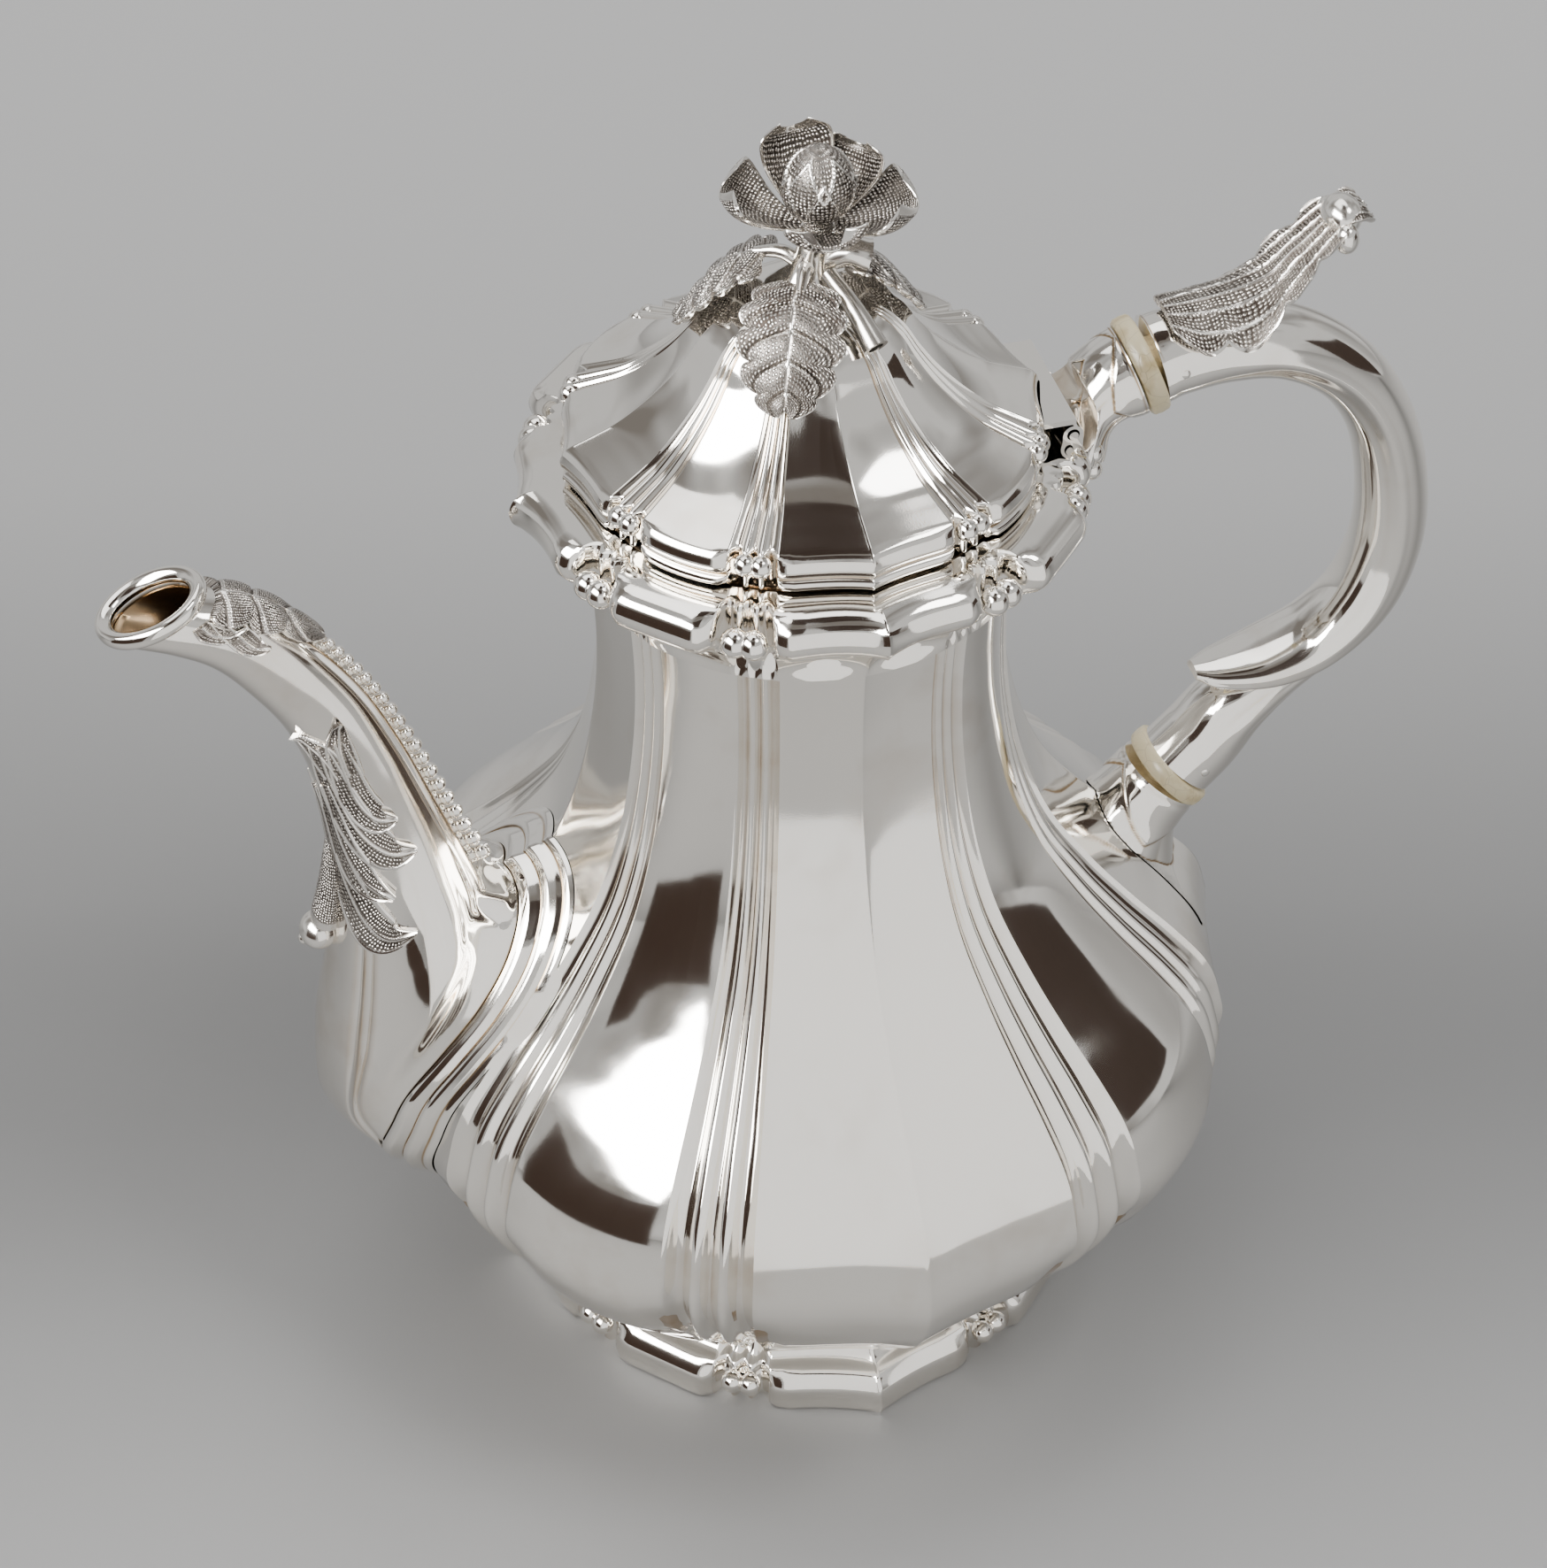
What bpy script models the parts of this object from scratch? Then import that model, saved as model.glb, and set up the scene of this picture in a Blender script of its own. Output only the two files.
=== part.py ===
"""Silver coffee pot: lobed pear-shaped body, hinged lid with a flower finial, spout and insulated scroll handle.

Run with: blender --background --python part.py
The pot stands on z = 0 with its axis on Z. The handle points to +X and the spout to -X, and the design is the
same on both sides of y = 0, apart from the finial. Lengths are in millimetres until a mesh is made.
"""

import math

import bmesh
import bpy
import numpy as np
from mathutils import Matrix, Vector

MM = 0.001
GAP = 0.35  # room left between neighbouring pieces
WALL = 1.2  # silver sheet

# ---- lobes: one pattern of sharp creases, double ribs and pillows runs from foot to lid ----------------------
CREASE_STEP = 90.0  # degrees between creases
PANEL_EDGE = 23.0  # where the creased panel ends, from its crease
RIBS = (25.4, 29.4)  # the two ribs of a double rib
RIB_VALLEY = 27.4
PILLOW_EDGE = 33.0
PILLOW_MIDDLE = 45.0
EIGHTH = (0.0, 8.0, 16.0, PANEL_EDGE, RIBS[0], RIB_VALLEY, RIBS[1], PILLOW_EDGE, 38.5, PILLOW_MIDDLE)

# Radii of the pattern as parts of the crease radius: panel edge, hollow of its facets, rib, valley, pillow edge,
# pillow middle.
FOOT_LOBES = (0.950, 0.012, 0.938, 0.926, 0.955, 0.944)
BODY_LOBES = (0.972, 0.006, 0.955, 0.940, 0.970, 0.992)
COLLAR_LOBES = (0.975, 0.012, 0.940, 0.925, 0.985, 0.995)
LID_LOBES = (0.980, 0.010, 0.985, 0.965, 0.980, 1.000)

# ---- heights and crease radii (radius, z) --------------------------------------------------------------------
FOOT_PROFILE = ((61.6, 0.0), (62.0, 4.0), (60.6, 9.0), (56.0, 12.5), (51.5, 16.0), (49.5, 19.8))
BELLY_PROFILE = (
    (52.0, 20.6), (63.0, 24.0), (69.5, 32.0), (76.0, 40.0), (83.0, 50.0), (87.6, 62.0), (86.2, 72.0), (83.0, 80.0),
    (76.0, 88.0), (67.0, 96.5), (58.0, 106.0), (49.0, 118.0), (43.0, 133.0), (39.6, 150.0), (38.5, 166.0),
    (39.2, 181.0),
)  # fmt: skip
BODY_FLOOR_Z = 20.2
NECK_RING_R = 39.0  # the plain round top of the neck, inside the collar
NECK_RING_Z = (190.0, 196.0)
COLLAR_PROFILE = ((40.6, 181.0), (42.8, 185.0), (46.2, 190.5), (49.8, 195.0), (52.6, 197.6), (52.8, 199.6), (51.2, 201.0))
COLLAR_TOP_Z = 201.5
COLLAR_BORE_R = 41.0
SEAT_INNER_R = 36.9
SEAT_Z = (196.4, 198.0)
LID_PROFILE = (
    (43.0, 201.9), (43.2, 204.4), (42.4, 205.0), (42.8, 207.2), (40.6, 209.7), (33.3, 212.5), (28.7, 215.7),
    (24.0, 220.0), (20.5, 224.0), (17.4, 228.8), (13.0, 231.6), (7.0, 232.8),
)  # fmt: skip
LID_TOP_Z = 233.0
BEZEL_R = (35.6, 36.5)
BEZEL_Z = (197.0, 203.2)
STUD_R = 1.9

# ---- hinge -------------------------------------------------------------------------------------------------
HINGE_X, HINGE_Z = 46.0, 202.8
HINGE_HALF = 12.4
KNUCKLE_R, KNUCKLE_BORE, PIN_R = 1.9, 1.2, 0.85
CENTRE_KNUCKLE_HALF = 4.6
PLATE_SWEEP_R = 6.2  # room that the lid's plate needs round the axis as it opens
PLATE_Z = (205.05, 206.1)
BRACKET_Z = (199.5, 200.4)

# ---- handle: centre line (x, z, radius) ---------------------------------------------------------------------
RING_UPPER, RING_UPPER_DIR = (62.8, 206.0), (0.935, 0.355)
RING_LOWER, RING_LOWER_DIR = (76.2, 105.6), (0.728, 0.686)
RING_HALF = 1.9  # half the thickness of an ivory disc
RING_R = 9.4
TENON_R, TENON_LENGTH = 4.2, 7.5
SCROLL_LINE = (
    (69.0, 207.6, 8.0), (79.0, 208.0, 7.5), (91.0, 205.6, 6.9), (102.5, 198.0, 6.4), (110.6, 186.5, 6.3),
    (115.2, 172.0, 6.7), (116.4, 156.5, 7.1), (112.6, 143.0, 7.3), (104.0, 134.2, 6.0), (93.5, 130.4, 4.4),
    (84.0, 129.6, 2.9), (78.8, 130.2, 1.3),
)  # fmt: skip
BRANCH_LINE = ((82.4, 112.2, 8.3), (87.0, 118.4, 7.8), (92.6, 122.6, 6.6), (98.6, 125.4, 5.0), (104.6, 127.6, 3.2))
UPPER_SOCKET_LINE = ((52.5, 197.2, 7.0, 11.5), (52.6, 202.0, 5.6, 9.5), (56.0, 204.2, 7.8, 8.2))
LOWER_SOCKET_LINE = ((62.0, 83.0, 18.0, 15.0), (66.0, 91.0, 14.0, 12.0), (70.0, 98.4, 9.4, 9.2))
LEAF_ROWS = (
    (67.0, 207.4, 9.8, 7.0), (73.0, 207.8, 9.7, 11.0), (80.0, 207.8, 10.8, 12.0), (86.0, 207.0, 15.2, 9.0),
    (90.4, 206.6, 20.4, 7.5), (94.6, 206.2, 25.2, 6.0), (98.2, 205.6, 23.6, 3.5),
)  # fmt: skip

# ---- spout: inner (upper) and outer (lower) edge of each section (x, z, x, z, half width), lip to root ------
SPOUT_SECTIONS = (
    (-107.2, 191.4, -124.0, 185.6, 7.0), (-101.0, 189.0, -115.0, 181.4, 7.2), (-95.0, 184.6, -108.0, 176.6, 7.4),
    (-88.2, 176.8, -102.2, 169.2, 7.8), (-81.2, 165.6, -96.6, 159.4, 8.2), (-75.5, 152.2, -92.8, 147.4, 9.0),
    (-70.6, 138.0, -90.8, 133.0, 10.6), (-66.0, 125.0, -91.4, 116.0, 13.2), (-63.6, 119.0, -95.4, 98.0, 16.6),
    (-62.6, 116.6, -98.8, 80.0, 19.6),
)  # fmt: skip
SPOUT_ROOT = (82.0, 32.0, 22.0)  # middle height, half height and half width of its end
ROOT_MOULDING = (80.6, 36.5, 26.0)
ROOT_REACH = 7.0  # how far the spout's end stands off the belly
SPOUT_SIDES = 20
STRAINER_HOLES = ((0.0, 84.0), (0.0, 96.0), (0.0, 72.0), (9.0, 90.0), (-9.0, 90.0), (9.0, 78.0), (-9.0, 78.0))
STRAINER_R = 2.4
LIP_R = 1.5
BEADS = 17
FOOT_CURL_LIFTS, FOOT_CURL_HALVES = (1.4, 2.4, 6.0), (2.2, 2.6, 2.0)

# ---- finial --------------------------------------------------------------------------------------------------
FLOWER_X, FLOWER_Z = 2.5, 246.4
PETALS = (
    ("petal_front", -97.0, 12.5, 6.0, 33.0), ("petal_right", -20.0, 16.6, 7.0, 34.0),
    ("petal_back_right", 42.0, 13.0, 9.6, 25.0), ("petal_back_left", 97.0, 12.5, 12.4, 26.0),
    ("petal_left", 158.0, 16.4, 8.0, 32.0),
)  # fmt: skip
FINIAL_LEAVES = (("leaf_front", -114.0), ("leaf_left", 146.0), ("leaf_right", 14.0))
LEAF_LINE = ((7.6, 239.2), (10.0, 238.4), (13.0, 236.6), (16.0, 233.6), (18.6, 230.2), (20.8, 226.8), (22.4, 224.6))
LEAF_HALF_WIDTH = 9.2


# ---- small tools ---------------------------------------------------------------------------------------------
def clear_scene():
    for obj in list(bpy.data.objects):
        bpy.data.objects.remove(obj, do_unlink=True)


def material(name, colour, metallic, roughness):
    mat = bpy.data.materials.new(name)
    mat.use_nodes = True
    shader = mat.node_tree.nodes["Principled BSDF"]
    shader.inputs["Base Color"].default_value = (*colour, 1.0)
    shader.inputs["Metallic"].default_value = metallic
    shader.inputs["Roughness"].default_value = roughness
    mat.diffuse_color = (*colour, 1.0)
    return mat


def add_piece(name, points, faces, mat, pivot=(0.0, 0.0, 0.0)):
    """One closed solid from points in millimetres; its origin is the pivot."""
    mesh = bpy.data.meshes.new(name)
    mesh.from_pydata([((Vector(p) - Vector(pivot)) * MM)[:] for p in points], [], faces)
    bm = bmesh.new()
    bm.from_mesh(mesh)
    bmesh.ops.recalc_face_normals(bm, faces=bm.faces)
    bmesh.ops.triangulate(bm, faces=[f for f in bm.faces if len(f.verts) > 4])
    bm.to_mesh(mesh)
    bm.free()
    mesh.shade_smooth()
    mesh.set_sharp_from_angle(angle=math.radians(40))
    obj = bpy.data.objects.new(name, mesh)
    obj.location = Vector(pivot) * MM
    mesh.materials.append(mat)
    bpy.context.collection.objects.link(obj)
    return obj


def loft(rings, wrap=False):
    """Points and faces of a skin over rings of equal length: capped at both ends, or joined end to start."""
    count, sides = len(rings), len(rings[0])
    points = [tuple(p) for ring in rings for p in ring]
    faces = []
    for i in range(count if wrap else count - 1):
        a, b = i * sides, ((i + 1) % count) * sides
        faces += [(a + j, a + (j + 1) % sides, b + (j + 1) % sides, b + j) for j in range(sides)]
    if not wrap:
        for start, ring in ((0, rings[0]), ((count - 1) * sides, rings[-1])):
            middle = len(points)
            points.append(tuple(np.mean(ring, axis=0)))
            faces += [(start + j, start + (j + 1) % sides, middle) for j in range(sides)]
    return points, faces


def sheet(grid, thickness):
    """A closed plate of one thickness from a grid of points on its middle surface."""
    grid = np.asarray(grid, float)
    along, across = np.gradient(grid, axis=0), np.gradient(grid, axis=1)
    normal = np.cross(along, across)
    normal /= np.linalg.norm(normal, axis=2, keepdims=True)
    return plate(grid - normal * thickness / 2, grid + normal * thickness / 2)


def plate(low, top):
    """A closed solid between two grids of points of the same shape."""
    rows, columns = low.shape[:2]
    place = np.arange(2 * rows * columns).reshape(2, rows, columns)
    faces = []
    for i in range(rows - 1):
        for j in range(columns - 1):
            for side in place:
                faces.append((side[i, j], side[i, j + 1], side[i + 1, j + 1], side[i + 1, j]))
    edges = (place[:, 0], place[:, -1], place[:, :, 0], place[:, :, -1])
    for a, b in edges:
        faces += [(a[k], a[k + 1], b[k + 1], b[k]) for k in range(len(a) - 1)]
    points = np.concatenate([low.reshape(-1, 3), top.reshape(-1, 3)])
    return [tuple(p) for p in points], [tuple(int(k) for k in f) for f in faces]


def cut(target, cutters):
    """Take closed cutters away from a piece, for good."""
    for cutter in cutters:
        mod = target.modifiers.new("cut", "BOOLEAN")
        mod.operation, mod.solver, mod.object = "DIFFERENCE", "EXACT", cutter
        finish_modifiers(target)
        bpy.data.objects.remove(cutter, do_unlink=True)


def join(target, others):
    for other in others:
        mod = target.modifiers.new("join", "BOOLEAN")
        mod.operation, mod.solver, mod.object = "UNION", "EXACT", other
        finish_modifiers(target)
        bpy.data.objects.remove(other, do_unlink=True)


def finish_modifiers(obj):
    bpy.context.view_layer.update()
    result = bpy.data.meshes.new_from_object(obj.evaluated_get(bpy.context.evaluated_depsgraph_get()))
    obj.modifiers.clear()
    obj.data = result
    result.shade_smooth()
    result.set_sharp_from_angle(angle=math.radians(40))


def rod(name, start, end, radius, mat, sides=12):
    """A round bar between two points."""
    start, end = Vector(start), Vector(end)
    turn = (end - start).to_track_quat("Z", "Y").to_matrix()
    circle = [turn @ Vector((radius * math.cos(a), radius * math.sin(a), 0))
              for a in np.linspace(0, 2 * math.pi, sides, endpoint=False)]  # fmt: skip
    return add_piece(name, *loft([[start + c for c in circle], [end + c for c in circle]]), mat)


def block(name, low, high, mat):
    corners = [(low[0], low[1]), (high[0], low[1]), (high[0], high[1]), (low[0], high[1])]
    return add_piece(name, *loft([[(x, y, z) for x, y in corners] for z in (low[2], high[2])]), mat)


def prism_y(outline, low_y, high_y):
    """An outline in x and z carried along Y."""
    return loft([[(x, y, z) for x, z in outline] for y in (low_y, high_y)])


# ---- lobed rings ---------------------------------------------------------------------------------------------
def column_angles():
    """The angles of the mesh's columns, in degrees, once round."""
    quarter = list(EIGHTH) + [CREASE_STEP - a for a in EIGHTH[-2:0:-1]]
    return np.array([start + a for start in np.arange(0, 360, CREASE_STEP) for a in quarter])


def lobe_ratio(angles, lobes):
    """Radius over crease radius at each angle: two hollowed chords, a double rib and a pillow."""
    panel, hollow, rib, valley, edge, middle = lobes
    a = np.abs((np.asarray(angles) + 45.0) % 90.0 - 45.0)
    rad, turn = np.radians(a), math.radians(PANEL_EDGE)
    chord = panel * math.sin(turn) / (panel * np.sin(turn - rad) + np.sin(rad) + 1e-12)
    chord = chord - hollow * np.sin(np.pi * np.sqrt(np.clip(a / PANEL_EDGE, 0, 1)))
    knots = (PANEL_EDGE, RIBS[0], RIB_VALLEY, RIBS[1], PILLOW_EDGE)
    ribs = np.interp(a, knots, (panel, rib, valley, rib, edge))
    swell = np.sin(np.clip((a - PILLOW_EDGE) / (PILLOW_MIDDLE - PILLOW_EDGE), 0, 1) * np.pi / 2)
    return np.where(a < PANEL_EDGE, chord, np.where(a < PILLOW_EDGE, ribs, edge + (middle - edge) * swell))


def lobed_ring(radius, z, lobes, amount=1.0):
    angles = column_angles()
    r = radius * (1 - amount + amount * lobe_ratio(angles, lobes))
    return np.stack([r * np.cos(np.radians(angles)), r * np.sin(np.radians(angles)), np.full(len(r), z)], 1)


def inset(profile, depth):
    """A profile of (radius, z) moved to the inside, square to itself; the profile runs upwards."""
    p = np.asarray(profile, float)
    along = np.gradient(p, axis=0)
    along /= np.linalg.norm(along, axis=1, keepdims=True)
    return p + depth * np.stack([-along[:, 1], along[:, 0]], 1)


def round_ring(name, outline, mat, sides=48, pivot=(0, 0, 0)):
    """A turned ring: a closed outline of (radius, z) carried round the axis."""
    turn = np.linspace(0, 2 * math.pi, sides, endpoint=False)
    rings = [np.stack([r * np.cos(turn), r * np.sin(turn), np.full(sides, z)], 1) for r, z in outline]
    return add_piece(name, *loft(rings, wrap=True), mat, pivot)


def belly_radius(z):
    return np.interp(z, [p[1] for p in BELLY_PROFILE], [p[0] for p in BELLY_PROFILE])


def belly_x(y, z):
    """Distance of the belly's face from the plane x = 0, on the spout's or handle's side."""
    radius = belly_radius(z)
    for _ in range(4):
        angle = np.degrees(np.arcsin(np.clip(y / radius, -0.9, 0.9)))
        radius = belly_radius(z) * lobe_ratio(angle, BODY_LOBES)
    return np.sqrt(np.maximum(radius**2 - y**2, 0.0))


# ---- pot body ------------------------------------------------------------------------------------------------
def foot_ring(mat):
    outer = [lobed_ring(r, z, FOOT_LOBES) for r, z in FOOT_PROFILE]
    top = [lobed_ring(45.0, FOOT_PROFILE[-1][1], FOOT_LOBES)]
    under = [lobed_ring(45.0, FOOT_PROFILE[-1][1] - WALL, FOOT_LOBES)]
    inner = [lobed_ring(r, z, FOOT_LOBES) for r, z in inset(FOOT_PROFILE[:-1], WALL * 1.3)[::-1]]
    inner[-1][:, 2] = 0.0
    add_piece("foot_ring", *loft(outer + top + under + inner, wrap=True), mat)


def body_shell(mat):
    belly = list(BELLY_PROFILE)
    outer = [lobed_ring(46.0, BODY_FLOOR_Z, BODY_LOBES, 0.5)]
    outer += [lobed_ring(r, z, BODY_LOBES) for r, z in belly]
    outer += [lobed_ring(NECK_RING_R, z, BODY_LOBES, 0.0) for z in NECK_RING_Z]
    inner = [lobed_ring(NECK_RING_R - WALL, z, BODY_LOBES, 0.0) for z in NECK_RING_Z[::-1]]
    inner += [lobed_ring(r, z, BODY_LOBES) for r, z in inset(belly, WALL)[::-1][::2]]
    inner += [lobed_ring(46.0, BODY_FLOOR_Z + WALL + 0.6, BODY_LOBES, 0.5)]
    shell = add_piece("body_shell", *loft(outer + inner), mat)
    holes = [
        rod(f"hole_{i}", (-belly_x(y, z) - 8, y, z + 4), (-belly_x(y, z) + 10, y, z - 5), STRAINER_R, mat, 8)
        for i, (y, z) in enumerate(STRAINER_HOLES)
    ]
    cut(shell, holes)


def neck_collar(mat):
    outer = [lobed_ring(r, z, COLLAR_LOBES) for r, z in COLLAR_PROFILE]
    outer[0] = lobed_ring(COLLAR_PROFILE[0][0] + 0.8, COLLAR_PROFILE[0][1], BODY_LOBES)
    bore = [(COLLAR_BORE_R, COLLAR_TOP_Z), (COLLAR_BORE_R, NECK_RING_Z[1]), (NECK_RING_R + 2 * GAP, NECK_RING_Z[1]),
            (NECK_RING_R + 2 * GAP, NECK_RING_Z[0])]  # fmt: skip
    inner = [lobed_ring(r, z, COLLAR_LOBES, 0.0) for r, z in bore]
    inner += [lobed_ring(BELLY_PROFILE[-1][0] + 3 * GAP, COLLAR_PROFILE[0][1], BODY_LOBES)]
    collar = add_piece("neck_collar", *loft(outer + inner, wrap=True), mat)
    half = HINGE_HALF + 0.6
    cut(collar, [block("notch", (43.2, -half, BRACKET_Z[0] - GAP), (48.7, half, 204.0), mat)])


def lid_seat_ring(mat):
    outline = [(SEAT_INNER_R, SEAT_Z[0]), (COLLAR_BORE_R - GAP, SEAT_Z[0]), (COLLAR_BORE_R - GAP, SEAT_Z[1]),
               (SEAT_INNER_R, SEAT_Z[1])]  # fmt: skip
    round_ring("lid_seat_ring", outline, mat)


def knuckle_outline(low):
    """A round knuckle on straight legs that run down to a height."""
    turns = np.linspace(0, math.pi, 9)
    arc = [(HINGE_X + KNUCKLE_R * math.cos(a), HINGE_Z + KNUCKLE_R * math.sin(a)) for a in turns]
    return [(HINGE_X + KNUCKLE_R, low)] + arc + [(HINGE_X - KNUCKLE_R, low)]


def knuckle_bore(name, mat):
    start, end = ((HINGE_X, y, HINGE_Z) for y in (-HINGE_HALF - 2, HINGE_HALF + 2))
    return rod(name, start, end, KNUCKLE_BORE, mat, 12)


def hinge_bracket(mat):
    half = HINGE_HALF
    inner = CENTRE_KNUCKLE_HALF + GAP
    x0, x1 = HINGE_X - KNUCKLE_R, HINGE_X + KNUCKLE_R
    bracket = block("hinge_bracket", (x0, -half, BRACKET_Z[0]), (x1, half, BRACKET_Z[1]), mat)
    ears = [
        add_piece(f"ear_{low}", *prism_y(knuckle_outline(BRACKET_Z[0]), low, high), mat)
        for low, high in ((-half, -inner), (inner, half))
    ]
    join(bracket, ears)
    cut(bracket, [knuckle_bore("bore", mat)])


def hinge_pin(mat):
    rod("hinge_pin", (HINGE_X, -HINGE_HALF - 0.4, HINGE_Z), (HINGE_X, HINGE_HALF + 0.4, HINGE_Z), PIN_R, mat, 10)


# ---- spout ---------------------------------------------------------------------------------------------------
def spout_turn():
    """Angles round a spout section: 0 on the upper ridge, 180 under the spout."""
    return np.linspace(0, 2 * math.pi, SPOUT_SIDES, endpoint=False)


def spout_section(section, grow=0.0):
    xi, zi, xo, zo, half = section
    inner, outer = np.array([xi, 0.0, zi]), np.array([xo, 0.0, zo])
    depth = np.linalg.norm(inner - outer) / 2
    up = (inner - outer) / (2 * depth)
    turn = spout_turn()
    middle = (inner + outer) / 2
    return middle + np.outer(np.cos(turn) * (depth + grow), up) + np.outer(np.sin(turn) * (half + grow), (0, 1, 0))


def root_outline(shape, reach, grow=0.0):
    """The outline of the spout's foot, laid on the belly and lifted off it."""
    middle, height, width = shape
    turn = spout_turn()
    y, z = np.sin(turn) * (width + grow), middle + np.cos(turn) * (height + grow)
    return np.stack([-belly_x(y, z) - reach, y, z], 1)


def spout_rings(grow=0.0):
    rings = [spout_section(s, grow) for s in SPOUT_SECTIONS]
    end = root_outline(SPOUT_ROOT, ROOT_REACH, grow)
    bulge = (rings[-1] + end) / 2
    turn = spout_turn()[:, None]
    bulge = bulge + (1 - np.cos(turn)) / 2 * np.array([-4.0, 0.0, -3.0])
    return rings + [bulge, end]


def spout_body(mat):
    rings = spout_rings() + spout_rings(-WALL)[::-1]
    add_piece("spout_body", *loft(rings, wrap=True), mat)


def spout_root_moulding(mat):
    steps = [
        root_outline(SPOUT_ROOT, ROOT_REACH - GAP - 0.3, -WALL), root_outline(SPOUT_ROOT, ROOT_REACH - GAP - 0.3, 1.6),
        root_outline(SPOUT_ROOT, 3.6, 2.6), root_outline(ROOT_MOULDING, 3.3, -1.2), root_outline(ROOT_MOULDING, 1.5),
        root_outline(SPOUT_ROOT, 1.5, -WALL),
    ]  # fmt: skip
    add_piece("spout_root_moulding", *loft(steps, wrap=True), mat)


def spout_lip(mat):
    xi, zi, xo, zo, half = SPOUT_SECTIONS[0]
    along = np.array([xi - xo, 0.0, zi - zo]) / math.hypot(xi - xo, zi - zo)
    normal = np.array([-along[2], 0.0, along[0]])
    middle = np.array([(xi + xo) / 2, 0.0, (zi + zo) / 2]) + normal * (LIP_R + GAP)
    depth = math.hypot(xi - xo, zi - zo) / 2
    turn = np.linspace(0, 2 * math.pi, 24, endpoint=False)
    outward = np.outer(np.cos(turn), along) + np.outer(np.sin(turn), (0, 1, 0))
    path = middle + np.outer(np.cos(turn) * depth, along) + np.outer(np.sin(turn) * half, (0, 1, 0))
    around = np.linspace(0, 2 * math.pi, 8, endpoint=False)
    rings = [path + outward * LIP_R * math.cos(a) + normal * LIP_R * math.sin(a) for a in around]
    add_piece("spout_lip", *loft(rings, wrap=True), mat)


def spout_patch(name, mat, rows, sides, lift, thickness):
    """A plate that follows the spout's face over given sections and columns, lifted row by row."""
    near, far = (np.array(spout_rings(g)) for g in (0.0, 1.0))
    columns = [c % SPOUT_SIDES for c in sides]
    low = near[np.ix_(rows, columns)]
    out = far[np.ix_(rows, columns)] - low
    out /= np.linalg.norm(out, axis=2, keepdims=True)
    lifts = np.asarray(lift)[:, None, None]
    add_piece(name, *plate(low + out * lifts, low + out * (lifts + thickness)), mat)


def spout_leaves(mat):
    spout_patch("spout_tip_leaf", mat, [0, 1, 2, 3], range(-3, 4), (0.9, 0.9, 1.0, 1.4), 1.0)
    for name, sides in (("spout_leaf_near", range(-9, -3)), ("spout_leaf_far", range(4, 10))):
        spout_patch(name, mat, [4, 5, 6, 7, 8], sides, (0.9, 0.9, 0.9, 0.9, 1.1), 1.1)
    foot = []
    for (xi, zi, xo, zo, _), lift, half in zip(SPOUT_SECTIONS[6:9], FOOT_CURL_LIFTS, FOOT_CURL_HALVES):
        out = np.array([xo - xi, zo - zi]) / math.hypot(xo - xi, zo - zi)
        foot.append([(xo + out[0] * lift, y, zo + out[1] * lift) for y in (-half, 0.0, half)])
    add_piece("spout_foot_curl", *sheet(foot, 1.1), mat)


def spout_bead_row(mat):
    """Beads that grow down the upper ridge, joined by a thin wire."""
    ridge = np.array([(xi, zi) for xi, zi, *_ in SPOUT_SECTIONS[3:]])
    edge = np.array([(xo, zo) for _, _, xo, zo, _ in SPOUT_SECTIONS[3:]])
    out = ridge - edge
    out /= np.linalg.norm(out, axis=1, keepdims=True)
    rows = np.linspace(0.25, 4.9, BEADS)
    sizes = np.linspace(1.1, 2.0, BEADS)
    rings = []
    turn = np.linspace(0, 2 * math.pi, 6, endpoint=False)
    for row, size in zip(rows, sizes):
        place = [np.interp(row, range(len(ridge)), ridge[:, k]) for k in (0, 1)]
        lift = [np.interp(row, range(len(ridge)), out[:, k]) for k in (0, 1)]
        ahead = [np.interp(row + 0.1, range(len(ridge)), ridge[:, k]) - place[k] for k in (0, 1)]
        ahead = np.array(ahead) / np.hypot(*ahead)
        middle = np.array(place) + np.array(lift) * (size + 0.5)
        for step, scale in ((-0.55, 0.45), (-0.05, 1.0), (0.45, 0.45)):
            spot = middle + ahead * step * size * 1.6
            rings.append([(spot[0] + lift[0] * size * scale * math.cos(a), size * scale * math.sin(a),
                           spot[1] + lift[1] * size * scale * math.cos(a)) for a in turn])  # fmt: skip
    add_piece("spout_bead_row", *loft(rings), mat)


# ---- handle --------------------------------------------------------------------------------------------------
def tube_rings(line, sides=12):
    """Rings square to a line in the plane y = 0; each point is x, z, radius in the plane and radius across."""
    line = np.array([p if len(p) == 4 else (*p, p[2]) for p in line], float)
    along = np.gradient(line[:, :2], axis=0)
    along /= np.linalg.norm(along, axis=1, keepdims=True)
    turn = np.linspace(0, 2 * math.pi, sides, endpoint=False)
    rings = []
    for (x, z, r, across), (tx, tz) in zip(line, along):
        rings.append(np.stack([x - tz * r * np.cos(turn), across * np.sin(turn), z + tx * r * np.cos(turn)], 1))
    return rings


def square_ring(place, direction, offset, radius, sides=12):
    """A circle square to a direction in the plane y = 0, some way along it from a place."""
    d = np.array(direction) / np.hypot(*direction)
    turn = np.linspace(0, 2 * math.pi, sides, endpoint=False)
    x, z = np.array(place) + d * offset
    return np.stack([x - d[1] * radius * np.cos(turn), radius * np.sin(turn), z + d[0] * radius * np.cos(turn)], 1)


def along_ring(place, direction, offset):
    d = np.array(direction) / np.hypot(*direction)
    x, z = np.array(place) + d * offset
    return (x, 0.0, z)


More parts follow.
